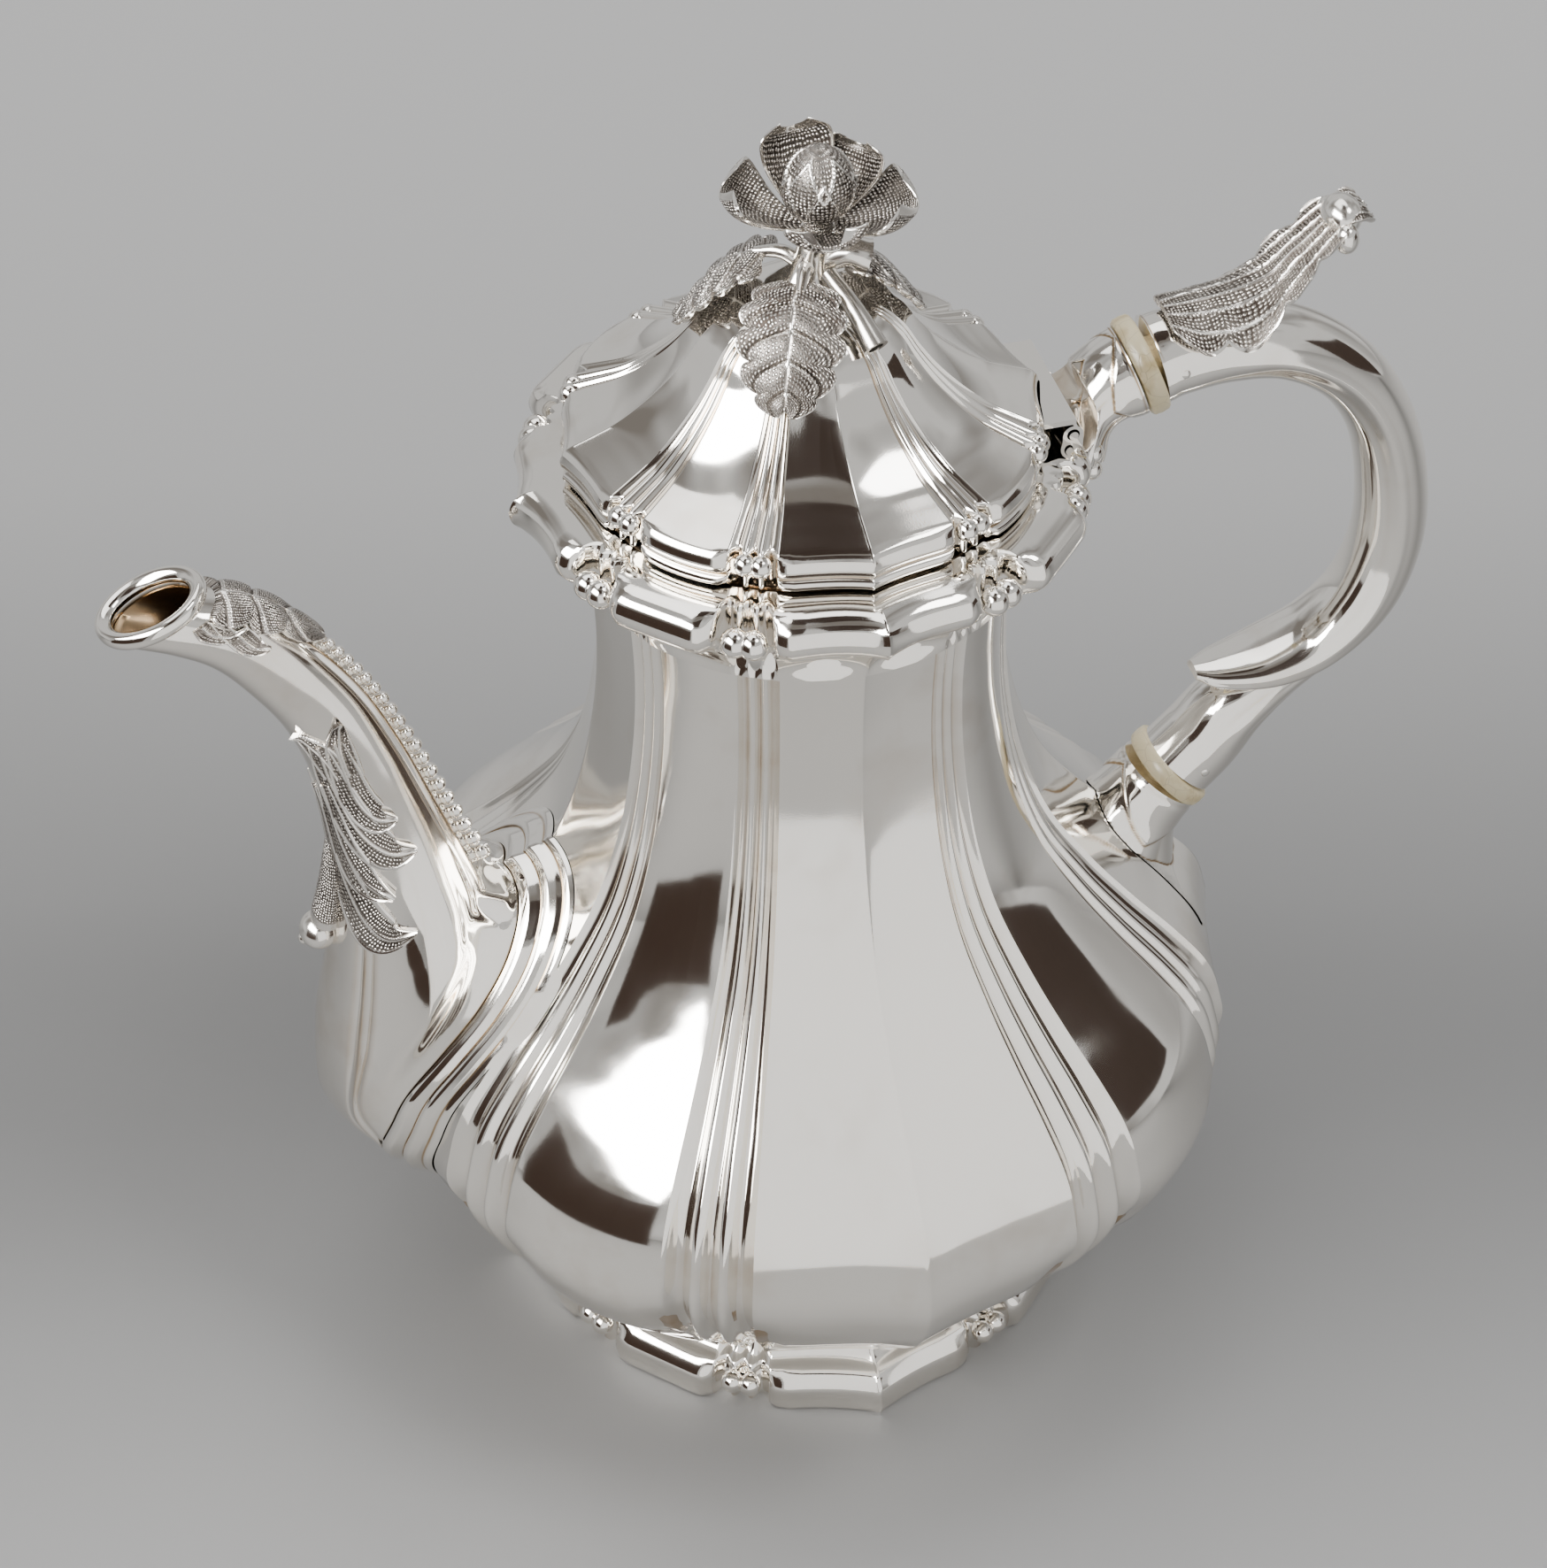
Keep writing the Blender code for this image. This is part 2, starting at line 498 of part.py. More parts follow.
def bored(piece, place, direction, side, mat):
    """Bore a handle end for an insulator's tenon, and cross it with the pin's hole."""
    start = along_ring(place, direction, side * (RING_HALF - 1.0))
    end = along_ring(place, direction, side * (RING_HALF + TENON_LENGTH + 1.0))
    cut(piece, [rod("bore", start, end, TENON_R + GAP, mat, 16), pin_hole(place, direction, side, mat)])


def pin_place(place, direction, side):
    return along_ring(place, direction, side * (RING_HALF + 4.0))


def pin_hole(place, direction, side, mat):
    x, _, z = pin_place(place, direction, side)
    return rod("pin_hole", (x, -14, z), (x, 14, z), PIN_R + 0.3, mat, 8)


def insulator(name, place, direction, mat):
    steps = ((-RING_HALF - TENON_LENGTH, TENON_R), (-RING_HALF, TENON_R), (-RING_HALF, RING_R - 0.7),
             (-RING_HALF + 0.7, RING_R), (RING_HALF - 0.7, RING_R), (RING_HALF, RING_R - 0.7), (RING_HALF, TENON_R),
             (RING_HALF + TENON_LENGTH, TENON_R))  # fmt: skip
    piece = add_piece(name, *loft([square_ring(place, direction, o, r, 16) for o, r in steps]), mat)
    cut(piece, [pin_hole(place, direction, side, mat) for side in (-1, 1)])


def handle_pins(mat):
    places = (
        ("upper_socket_pin", RING_UPPER, RING_UPPER_DIR, -1, 7.9),
        ("upper_handle_pin", RING_UPPER, RING_UPPER_DIR, 1, 7.9),
        ("lower_socket_pin", RING_LOWER, RING_LOWER_DIR, -1, 8.6),
        ("lower_handle_pin", RING_LOWER, RING_LOWER_DIR, 1, 8.2),
    )
    for name, place, direction, side, half in places:
        x, _, z = pin_place(place, direction, side)
        rod(name, (x, -half, z), (x, half, z), PIN_R, mat, 8)


def handle_scroll(mat):
    rings = [square_ring(RING_UPPER, RING_UPPER_DIR, RING_HALF + GAP, 8.3)] + tube_rings(SCROLL_LINE)
    scroll = add_piece("handle_scroll", *loft(rings), mat)
    bored(scroll, RING_UPPER, RING_UPPER_DIR, 1, mat)


def handle_branch(mat):
    rings = [square_ring(RING_LOWER, RING_LOWER_DIR, RING_HALF + GAP, 8.4)] + tube_rings(BRANCH_LINE)
    branch = add_piece("handle_branch", *loft(rings), mat)
    grown = [(x, z, r + GAP + 0.15) for x, z, r in SCROLL_LINE[6:]]
    bored(branch, RING_LOWER, RING_LOWER_DIR, 1, mat)
    cut(branch, [add_piece("scroll_room", *loft(tube_rings(grown, 12)), mat)])


def collar_room(mat):
    """The collar's outside, grown by a gap, as a cutter."""
    rings = [lobed_ring(r + GAP + 0.15, z, COLLAR_LOBES) for r, z in COLLAR_PROFILE]
    return add_piece("collar_room", *loft(rings), mat)


def hinge_room(mat):
    """A round bar about the hinge's axis, as wide as the plate that turns in it."""
    half = HINGE_HALF + 0.6
    return rod("hinge_room", (HINGE_X, -half, HINGE_Z), (HINGE_X, half, HINGE_Z), PLATE_SWEEP_R, mat, 24)


def upper_socket(mat):
    rings = tube_rings(UPPER_SOCKET_LINE) + [square_ring(RING_UPPER, RING_UPPER_DIR, -RING_HALF - GAP, 8.4)]
    socket = add_piece("upper_socket", *loft(rings), mat)
    cut(socket, [collar_room(mat), hinge_room(mat)])
    bored(socket, RING_UPPER, RING_UPPER_DIR, -1, mat)


def lower_socket(mat):
    rings = tube_rings(LOWER_SOCKET_LINE) + [square_ring(RING_LOWER, RING_LOWER_DIR, -RING_HALF - GAP, 8.6)]
    socket = add_piece("lower_socket", *loft(rings), mat)
    room = [lobed_ring(r + 0.6, z, BODY_LOBES) for r, z in BELLY_PROFILE[2:13]]
    cut(socket, [add_piece("belly_room", *loft(room), mat)])
    bored(socket, RING_LOWER, RING_LOWER_DIR, -1, mat)


def thumb_leaf(mat):
    line = np.array([(x, z) for x, z, _, _ in LEAF_ROWS])
    along = np.gradient(line, axis=0)
    along /= np.linalg.norm(along, axis=1, keepdims=True)
    grid = []
    for (x, z, away, half), (tx, tz) in zip(LEAF_ROWS, along):
        spread = np.linspace(-1, 1, 7) * half / away
        grid.append([(x - tz * away * math.cos(b), away * math.sin(b), z + tx * away * math.cos(b)) for b in spread])
    add_piece("thumb_leaf", *sheet(grid, 1.2), mat)


# ---- lid -----------------------------------------------------------------------------------------------------
HINGE_PIVOT = (HINGE_X, 0.0, HINGE_Z)


def lid_shell(mat):
    fades = np.interp([r for r, _ in LID_PROFILE], (7.0, 20.0), (0.0, 1.0))
    outer = [lobed_ring(r, z, LID_LOBES, f) for (r, z), f in zip(LID_PROFILE, fades)]
    bore = STUD_R + GAP + 0.1
    neck = [lobed_ring(bore, z, LID_LOBES, 0.0) for z in (LID_TOP_Z, LID_TOP_Z - WALL)]
    inner = [lobed_ring(r, z, LID_LOBES, f) for (r, z), f in zip(inset(LID_PROFILE, WALL)[::-2], fades[::-2])]
    inner[-1][:, 2] = LID_PROFILE[0][1]
    add_piece("lid_shell", *loft(outer + neck + inner, wrap=True), mat, HINGE_PIVOT)


def lid_bezel(mat):
    r0, r1 = BEZEL_R
    z0, z1 = BEZEL_Z
    outline = [(r0, z0), (r1, z0), (r1, z1), (39.6, z1), (39.6, z1 + 0.9), (r0, z1 + 0.9)]
    round_ring("lid_bezel", outline, mat, 48, HINGE_PIVOT)


def lid_hinge_plate(mat):
    """A flat bar that butts against the lid's rim, with the centre knuckle under it."""
    half = HINGE_HALF
    rim = []
    for angle in (-EIGHTH[2], -EIGHTH[1], 0.0, EIGHTH[1], EIGHTH[2]):
        radius = LID_PROFILE[1][0] * float(lobe_ratio(angle, LID_LOBES)) + GAP + 0.3
        rim.append((radius * math.cos(math.radians(angle)), radius * math.sin(math.radians(angle))))
    rim = [(rim[0][0] - 0.4, -half)] + rim + [(rim[-1][0] - 0.4, half)]
    outline = rim + [(HINGE_X + 0.4, half), (HINGE_X + 0.4, -half)]
    plate = add_piece("lid_hinge_plate", *loft([[(x, y, z) for x, y in outline] for z in PLATE_Z]), mat)
    inner = CENTRE_KNUCKLE_HALF
    top = PLATE_Z[0] + 0.4
    turns = np.linspace(math.pi, 2 * math.pi, 9)
    arc = [(HINGE_X + KNUCKLE_R * math.cos(a), HINGE_Z + KNUCKLE_R * math.sin(a)) for a in turns]
    knuckle = [(HINGE_X - KNUCKLE_R, top)] + arc + [(HINGE_X + 0.3, HINGE_Z + 1.6), (HINGE_X + 0.3, top)]
    join(plate, [add_piece("knuckle", *prism_y(knuckle, -inner, inner), mat)])
    cut(plate, [knuckle_bore("bore", mat)])
    move_origin(plate, HINGE_PIVOT)


def move_origin(obj, place):
    place = Vector(place) * MM
    obj.data.transform(Matrix.Translation(obj.location - place))
    obj.location = place


def finial_stem(mat):
    rows = ((0.0, 226.0, STUD_R), (0.0, LID_TOP_Z + 0.2, STUD_R), (0.0, LID_TOP_Z + GAP + 0.1, 6.2), (0.2, 235.4, 6.0),
            (0.8, 237.6, 3.6), (1.8, 242.0, 3.0), (FLOWER_X, 245.2, 3.8), (FLOWER_X, 245.7, 3.6))  # fmt: skip
    turn = np.linspace(0, 2 * math.pi, 12, endpoint=False)
    rings = [np.stack([x + r * np.cos(turn), r * np.sin(turn), np.full(12, z)], 1) for x, z, r in rows]
    add_piece("finial_stem", *loft(rings), mat, HINGE_PIVOT)


def finial_nut(mat):
    bore = STUD_R + GAP
    sides = np.radians(np.arange(0, 360, 30))
    hexagon = np.where(np.arange(12) % 2 == 0, 4.4, 4.4 * math.cos(math.radians(30)))
    rings = [np.stack([r * np.cos(sides), r * np.sin(sides), np.full(12, z)], 1)
             for r, z in ((bore, 228.0), (hexagon, 228.0), (hexagon, 231.0), (bore, 231.0))]  # fmt: skip
    add_piece("finial_nut", *loft(rings, wrap=True), mat, HINGE_PIVOT)


def petal(name, azimuth, length, rise, spread, mat):
    """A spoon in polar coordinates about the flower's middle, so neighbours never cross."""
    grid = []
    for u in np.linspace(0, 1, 6):
        reach = 3.1 + (length - 3.1) * math.sin(u * math.pi / 2)
        half = spread * (1.0 if u < 0.5 else math.sqrt(max(1 - ((u - 0.5) / 0.54) ** 2, 0.04)))
        row = []
        for v in np.linspace(-1, 1, 5):
            angle = math.radians(azimuth + v * half)
            height = FLOWER_Z + rise * u**1.7 + 1.2 * v * v * u
            row.append((FLOWER_X + reach * math.cos(angle), reach * math.sin(angle), height))
        grid.append(row)
    add_piece(name, *sheet(grid, 0.8), mat, HINGE_PIVOT)


def bud(mat):
    rows = (
        (245.95, 2.0), (248.6, 2.2), (250.2, 4.6), (253.2, 6.0), (256.4, 5.9), (259.4, 4.4), (261.4, 2.2), (262.2, 0.8),
    )  # fmt: skip
    turn = np.linspace(0, 2 * math.pi, 12, endpoint=False)
    rings = [np.stack([FLOWER_X + r * np.cos(turn), r * np.sin(turn), np.full(12, z)], 1) for z, r in rows]
    add_piece("bud", *loft(rings), mat, HINGE_PIVOT)


def finial_leaf(name, azimuth, mat):
    """A leaf that hangs from the stem over the lid's dome, arched across."""
    grid = []
    for u, (radius, height) in zip(np.linspace(0, 1, len(LEAF_LINE)), LEAF_LINE):
        half = LEAF_HALF_WIDTH * math.sin(math.pi * (0.16 + 0.78 * u)) ** 0.8
        row = []
        for v in np.linspace(-1, 1, 5):
            reach = math.hypot(radius, 0.7 * v * half)
            angle = math.radians(azimuth) + math.atan2(v * half, radius)
            row.append((reach * math.cos(angle), reach * math.sin(angle), height - 1.0 * v * v))
        grid.append(row)
    add_piece(name, *sheet(grid, 1.0), mat, HINGE_PIVOT)


def twig_stub(mat):
    start, end = Vector((4.6, -5.4, 238.2)), Vector((8.0, -17.0, 232.0))
    twig = rod("twig_stub", start, end, 1.7, mat, 8)
    move_origin(twig, HINGE_PIVOT)


# ---- the pot -------------------------------------------------------------------------------------------------
def build():
    clear_scene()
    silver = material("polished_silver", (0.86, 0.85, 0.83), 1.0, 0.12)
    dark_silver = material("oxidised_silver", (0.42, 0.40, 0.38), 1.0, 0.35)
    ivory = material("ivory", (0.86, 0.80, 0.66), 0.0, 0.35)
    foot_ring(silver)
    body_shell(silver)
    neck_collar(silver)
    lid_seat_ring(silver)
    hinge_bracket(silver)
    hinge_pin(silver)
    spout_body(silver)
    spout_root_moulding(silver)
    spout_lip(silver)
    spout_leaves(dark_silver)
    spout_bead_row(silver)
    upper_socket(silver)
    lower_socket(silver)
    insulator("upper_insulator", RING_UPPER, RING_UPPER_DIR, ivory)
    insulator("lower_insulator", RING_LOWER, RING_LOWER_DIR, ivory)
    handle_scroll(silver)
    handle_branch(silver)
    handle_pins(silver)
    thumb_leaf(dark_silver)
    lid_shell(silver)
    lid_bezel(silver)
    lid_hinge_plate(silver)
    finial_stem(dark_silver)
    finial_nut(silver)
    for name, azimuth, length, rise, spread in PETALS:
        petal(name, azimuth, length, rise, spread, dark_silver)
    bud(dark_silver)
    for name, azimuth in FINIAL_LEAVES:
        finial_leaf(name, azimuth, dark_silver)
    twig_stub(dark_silver)


build()
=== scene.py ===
"""Silver coffee pot: the finished surfaces, metals and studio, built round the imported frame.

Shapes are worked out in millimetres and become metres when a mesh is made. The pot stands on z = 0 with its
axis on Z. The spout points to -X, the handle to +X, and both sides of y = 0 match, apart from the finial.
"""

import math

import bpy
import numpy as np
from bpy.props import FloatProperty, IntProperty, PointerProperty, StringProperty
from mathutils import Matrix, Vector


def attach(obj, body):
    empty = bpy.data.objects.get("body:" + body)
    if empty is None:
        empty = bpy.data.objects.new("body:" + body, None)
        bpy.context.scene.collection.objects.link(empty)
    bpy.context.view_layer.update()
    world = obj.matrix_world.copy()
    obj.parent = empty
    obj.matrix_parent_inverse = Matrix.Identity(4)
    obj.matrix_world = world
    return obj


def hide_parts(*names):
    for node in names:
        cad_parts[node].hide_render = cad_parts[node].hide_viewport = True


bl_info = {
    "name": "Silver coffee pot",
    "version": (1, 0, 0),
    "blender": (4, 5, 0),
    "location": "View3D > Sidebar > Coffee pot",
    "description": "Builds the raised, chased and cast pieces of a lobed silver coffee pot",
    "category": "Object",
}

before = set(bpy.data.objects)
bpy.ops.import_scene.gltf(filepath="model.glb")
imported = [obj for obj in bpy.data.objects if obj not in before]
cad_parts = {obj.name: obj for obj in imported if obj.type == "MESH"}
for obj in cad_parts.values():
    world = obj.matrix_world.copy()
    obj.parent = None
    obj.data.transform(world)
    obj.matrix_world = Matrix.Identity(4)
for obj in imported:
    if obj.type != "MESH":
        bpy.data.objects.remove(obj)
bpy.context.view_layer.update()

MM = 0.001

# ---- lobes: sharp creases every quarter turn, with a double rib and a pillow on each side ----
PANEL_EDGE, PILLOW_EDGE = 21.9, 33.3  # degrees from the crease
RIBS = (25.75, 29.45)
RIB_HALF = 1.85
# Parts of the crease radius: panel edge, hollow of the facets, rib, valley, pillow edge, pillow middle.
FOOT_LOBES = (0.955, 0.016, 0.948, 0.918, 0.957, 0.940)
BODY_LOBES = (0.974, 0.009, 0.968, 0.938, 0.974, 0.990)
COLLAR_LOBES = (0.985, 0.030, 0.955, 0.930, 1.000, 0.985)
LID_LOBES = (0.985, 0.014, 0.990, 0.945, 0.990, 0.998)

# ---- profiles (radius, z) ----
FOOT = (
    (60.6, 0.0), (61.6, 1.2), (62.0, 4.0), (61.4, 7.2), (59.2, 9.4), (55.6, 11.0), (53.2, 13.6), (51.0, 16.4),
    (49.5, 19.7),
)  # fmt: skip
BELLY = (
    (46.0, 20.2), (52.0, 20.6), (63.0, 24.0), (69.5, 32.0), (76.0, 40.0), (83.0, 50.0), (87.6, 62.0), (86.2, 72.0),
    (83.0, 80.0), (76.0, 88.0), (67.0, 96.5), (58.0, 106.0), (49.0, 118.0), (43.0, 133.0), (39.6, 150.0),
    (38.5, 166.0), (39.2, 181.0), (39.6, 185.0),
)  # fmt: skip
COLLAR = (
    (40.5, 181.0), (41.2, 184.0), (43.6, 188.0), (47.0, 191.6), (50.6, 193.0), (52.6, 194.6), (53.2, 197.2),
    (52.2, 199.8), (49.8, 201.2), (46.0, 201.5), (41.2, 201.4),
)  # fmt: skip
LID_RIM = (
    (41.8, 201.9), (43.0, 202.0), (43.3, 202.9), (43.0, 203.7), (42.2, 204.1), (42.4, 204.6), (43.4, 205.2),
    (43.6, 206.4), (43.2, 207.8), (42.4, 208.8), (41.2, 209.4),
)  # fmt: skip
LID_DOME = (
    (41.2, 209.4), (37.4, 210.9), (33.3, 212.7), (28.7, 215.8), (24.0, 220.0), (20.5, 224.2), (17.4, 228.6),
    (13.0, 231.8), (7.0, 232.8), (2.4, 233.0),
)  # fmt: skip
SEAT_RING = ((36.9, 196.4), (40.5, 196.4), (40.5, 197.8), (40.3, 198.0), (37.1, 198.0), (36.9, 197.8))
BEZEL = ((35.6, 197.2), (36.5, 197.0), (36.5, 203.2), (39.6, 203.2), (39.6, 204.1), (35.6, 204.1))
WALL = 1.2
# Rolls: core radius, degrees over which an end closes. Beads that end the ribs: radius, z, size.
FOOT_ROLL, COLLAR_ROLL, LID_ROLL = (58.6, 3.6), (48.4, 4.0), (42.0, 3.4)
FOOT_BEADS, COLLAR_BEADS, LID_BEADS = (60.0, 6.4, 2.3), (51.2, 195.8, 2.6), (42.0, 206.8, 2.0)

# ---- hinge, handle and insulators ----
HINGE_X, HINGE_Z = 46.0, 202.8
RING_UPPER, RING_UPPER_DIR = (62.8, 206.0), (0.935, 0.355)
RING_LOWER, RING_LOWER_DIR = (76.2, 105.6), (0.728, 0.686)
RING_HALF, RING_R = 1.9, 9.4
PIN_OFFSET = 5.9
PINS = (("upper_socket", -1, 7.9), ("upper_handle", 1, 7.9), ("lower_socket", -1, 8.6), ("lower_handle", 1, 8.2))
# Centre line in the plane y = 0: x, z, radius in the plane, radius across.
SCROLL = (
    (65.0, 206.7, 8.3, 8.3), (69.0, 207.6, 8.0, 8.0), (79.0, 208.0, 7.5, 7.5), (91.0, 205.6, 6.9, 7.2),
    (102.5, 198.0, 6.4, 7.1), (110.6, 186.5, 6.3, 7.2), (115.2, 172.0, 6.7, 7.4), (116.4, 156.5, 7.0, 7.7),
    (112.6, 143.0, 6.8, 8.2), (104.0, 134.2, 5.4, 8.6), (93.5, 130.4, 3.7, 8.0), (84.0, 129.6, 2.3, 5.4),
    (79.2, 130.0, 1.2, 2.6),
)  # fmt: skip
BRANCH = (
    (77.9, 107.2, 8.4, 8.4), (82.4, 112.2, 8.3, 8.2), (87.0, 118.4, 7.8, 7.7), (92.4, 122.4, 6.4, 6.6),
    (98.2, 125.0, 4.6, 5.0), (104.4, 126.6, 2.6, 3.0),
)  # fmt: skip
UPPER_SOCKET = (
    (49.4, 195.4, 6.4, 12.4), (51.2, 199.0, 5.8, 10.4), (53.6, 201.6, 6.4, 8.6), (57.0, 203.8, 7.6, 8.0),
    (60.7, 205.2, 8.4, 8.4),
)  # fmt: skip
LOWER_SOCKET = (
    (60.0, 78.0, 21.0, 17.5), (63.0, 84.5, 17.6, 14.6), (66.4, 91.6, 13.2, 11.6), (70.0, 98.0, 9.6, 9.2),
    (74.6, 104.1, 8.6, 8.6),
)  # fmt: skip
THUMB_LEAF = (
    (67.0, 207.4, 9.6, 7.0), (73.0, 207.8, 9.5, 11.0), (80.0, 207.8, 10.6, 12.0), (86.0, 207.0, 15.0, 9.4),
    (90.0, 206.6, 19.6, 8.0), (93.4, 206.2, 24.4, 6.6), (96.2, 205.8, 27.2, 5.2), (98.6, 205.4, 25.6, 3.8),
)  # fmt: skip

# ---- spout: upper and front edge of each section (x, z, x, z) and half width, lip to root ----
SPOUT = (
    (-107.2, 191.4, -124.0, 185.6, 7.0), (-101.0, 189.0, -115.0, 181.4, 7.2), (-95.0, 184.6, -108.0, 176.6, 7.4),
    (-88.2, 176.8, -102.2, 169.2, 7.8), (-81.2, 165.6, -96.6, 159.4, 8.2), (-75.5, 152.2, -92.8, 147.4, 9.0),
    (-70.6, 138.0, -90.8, 133.0, 10.6), (-66.0, 125.0, -90.6, 116.0, 13.2), (-63.6, 119.0, -93.4, 98.0, 16.6),
    (-62.6, 116.6, -96.8, 80.0, 19.6),
)  # fmt: skip
ROOT, ROOT_EDGE = (82.0, 32.0, 22.0), (80.6, 36.5, 26.0)  # middle height, half height, half width
ROOT_REACH = 7.0
# Moulding round the root: way out from the spout's end, reach from the belly.
MOULDING = (
    (-0.3, 6.6), (0.22, 6.9), (0.48, 6.3), (0.58, 4.8), (0.62, 4.0), (0.78, 4.4), (1.02, 4.0), (1.16, 2.6),
    (1.20, 1.5), (1.42, 1.1), (1.5, 0.2),
)  # fmt: skip
CURL = ((-89.4, 134.0, 0.8, 1.6), (-90.2, 126.0, 1.6, 2.8), (-91.4, 117.0, 2.2, 3.8), (-93.0, 109.0, 2.8, 4.0))
SPOUT_ROWS, SPOUT_COLUMNS = 170, 240

# Acanthus lobes: way along the spout, degrees from its front edge, half width.
SPOUT_LENGTH, MM_PER_DEGREE = 150.0, 0.18
SIDE_LOBES = (
    ((0.440, 64, 3.2), (0.400, 60, 3.4), (0.370, 50, 1.8), (0.356, 42, 0.4)),
    ((0.440, 78, 3.2), (0.400, 84, 3.2), (0.372, 96, 1.8), (0.358, 104, 0.4)),
    ((0.385, 84, 1.8), (0.43, 76, 3.2), (0.475, 74, 3.8), (0.508, 84, 3.4), (0.516, 104, 0.5)),
    ((0.385, 62, 2.2), (0.45, 54, 4.0), (0.512, 60, 4.6), (0.556, 82, 3.8), (0.566, 109, 0.5)),
    ((0.455, 38, 1.8), (0.53, 36, 3.2), (0.585, 50, 3.6), (0.612, 78, 0.5)),
    ((0.470, 22, 2.2), (0.56, 22, 3.6), (0.625, 40, 4.2), (0.664, 64, 3.4), (0.668, 90, 0.5)),
)  # fmt: skip
TIP_LOBES = (
    ((0.03, 122, 1.8), (0.07, 112, 2.6), (0.105, 116, 2.2), (0.112, 132, 0.6)),
    ((0.04, 140, 2.2), (0.10, 124, 3.0), (0.160, 112, 2.8), (0.184, 120, 0.6)),
)

# ---- finial ----
FLOWER_X, FLOWER_Z = 2.5, 246.4
PETALS = (
    ("petal_front", -97.0, 12.6, 5.0, 42.0), ("petal_right", -20.0, 16.6, 6.4, 42.0),
    ("petal_back_right", 42.0, 13.2, 10.4, 36.0), ("petal_back_left", 97.0, 12.6, 13.4, 38.0),
    ("petal_left", 160.0, 16.4, 7.6, 36.0),
)  # fmt: skip
FINIAL_LEAVES = (("leaf_front", -114.0), ("leaf_left", 146.0), ("leaf_right", 14.0))
LEAF_LINE = ((7.0, 239.6), (10.0, 238.8), (13.0, 236.9), (16.0, 233.9), (18.6, 230.4), (20.8, 227.0), (22.6, 224.9))
LEAF_HALF = 10.0
LEAF_SWEEP = 0.2
BUD = (
    (2.0, 245.95), (2.6, 248.6), (4.7, 250.2), (6.0, 253.2), (5.9, 256.4), (4.5, 259.4), (2.4, 261.4), (0.7, 262.2),
)  # fmt: skip
SEPALS = ((257.6, -97.0, 4.6), (261.2, -61.0, 4.0))  # height of the points, azimuth, fall between them
STEM = (
    (6.4, 233.3), (6.8, 234.6), (5.2, 236.4), (3.6, 238.4), (3.0, 241.2), (3.4, 243.6), (4.2, 245.2), (3.4, 245.7),
)  # fmt: skip

finishes = {}


# ---- curves and profiles ----
def spline(points, count):
    """Catmull-Rom curve: a cubic between two points whose slope at each is half the step between its neighbours."""
    p = np.asarray(points, float)
    q = np.concatenate([2 * p[:1] - p[1:2], p, 2 * p[-1:] - p[-2:-1]])
    s = np.linspace(0, len(p) - 1, count)
    i = np.clip(s.astype(int), 0, len(p) - 2)
    t = (s - i).reshape((-1,) + (1,) * (p.ndim - 1))
    a, b, c, d = (q[i + k] for k in range(4))
    return 0.5 * (2 * b + (c - a) * t + (2 * a - 5 * b + 4 * c - d) * t**2 + (3 * b - a - 3 * c + d) * t**3)


def moulded(points, count, soft):
    """A line of straight steps walked evenly, each place then the bell-weighted mean of those within `soft` mm."""
    p = np.asarray(points, float)
    at = np.concatenate([[0], np.cumsum(np.hypot(*np.diff(p, axis=0).T))])
    s = np.linspace(0, at[-1], count)
    line = np.stack([np.interp(s, at, p[:, k]) for k in (0, 1)], 1)
    weight = np.exp(-(((s[:, None] - s[None]) / soft) ** 2) * 2)
    mirror = np.exp(-(((s[:, None] + s[None]) / soft) ** 2) * 2)
    far = np.exp(-(((2 * at[-1] - s[:, None] - s[None]) / soft) ** 2) * 2)
    total = weight.sum(1) + mirror.sum(1) + far.sum(1)
    kept = weight @ line + mirror @ (2 * line[:1] - line) + far @ (2 * line[-1:] - line)
    return kept / total[:, None]


def bell(x, middle, half):
    """A smooth bump of height 1 that is 0.37 high at `half` from its middle."""
    return np.exp(-(((x - middle) / half) ** 2))


def step_up(x, low, high):
    """0 below `low`, 1 above `high`, and a smooth S between them."""
    t = np.clip((x - low) / (high - low), 0, 1)
    return t * t * (3 - 2 * t)


def circle(sides):
    """Turns once round in radians, in equal steps, without coming back to the first."""
    return np.linspace(0, 2 * np.pi, sides, endpoint=False)


def unit(vectors):
    """Vectors over their own length, the root of the sum of squares."""
    return vectors / (np.linalg.norm(vectors, axis=-1, keepdims=True) + 1e-9)


def from_crease(angle):
    """Degrees from the nearest crease: a triangle wave between 0 and 45."""
    return np.abs((angle + 45.0) % 90.0 - 45.0)


def from_top(turn):
    """Degrees from the upper edge, 0 to 180 on both sides, for turns in radians."""
    return np.degrees(np.abs((turn + np.pi) % (2 * np.pi) - np.pi))


def polar(radius, turn, z, x=0.0):
    """Points round an upright axis at x: radius times cosine and sine of the turn, at height z."""
    return np.stack(np.broadcast_arrays(x + radius * np.cos(turn), radius * np.sin(turn), z), 2)


def lobe_angles():
    """Columns once round, in degrees: close together at creases and ribs, wide apart on the panels."""
    spans = ((2, 20.5, 8), (21.5, 33.8, 42), (35.5, 45, 6))
    eighth = np.concatenate([[0, 0.4, 0.9]] + [np.linspace(*span) for span in spans])
    quarter = np.concatenate([eighth, 90 - eighth[-2:0:-1]])
    return (np.arange(0, 360, 90)[:, None] + quarter).ravel()


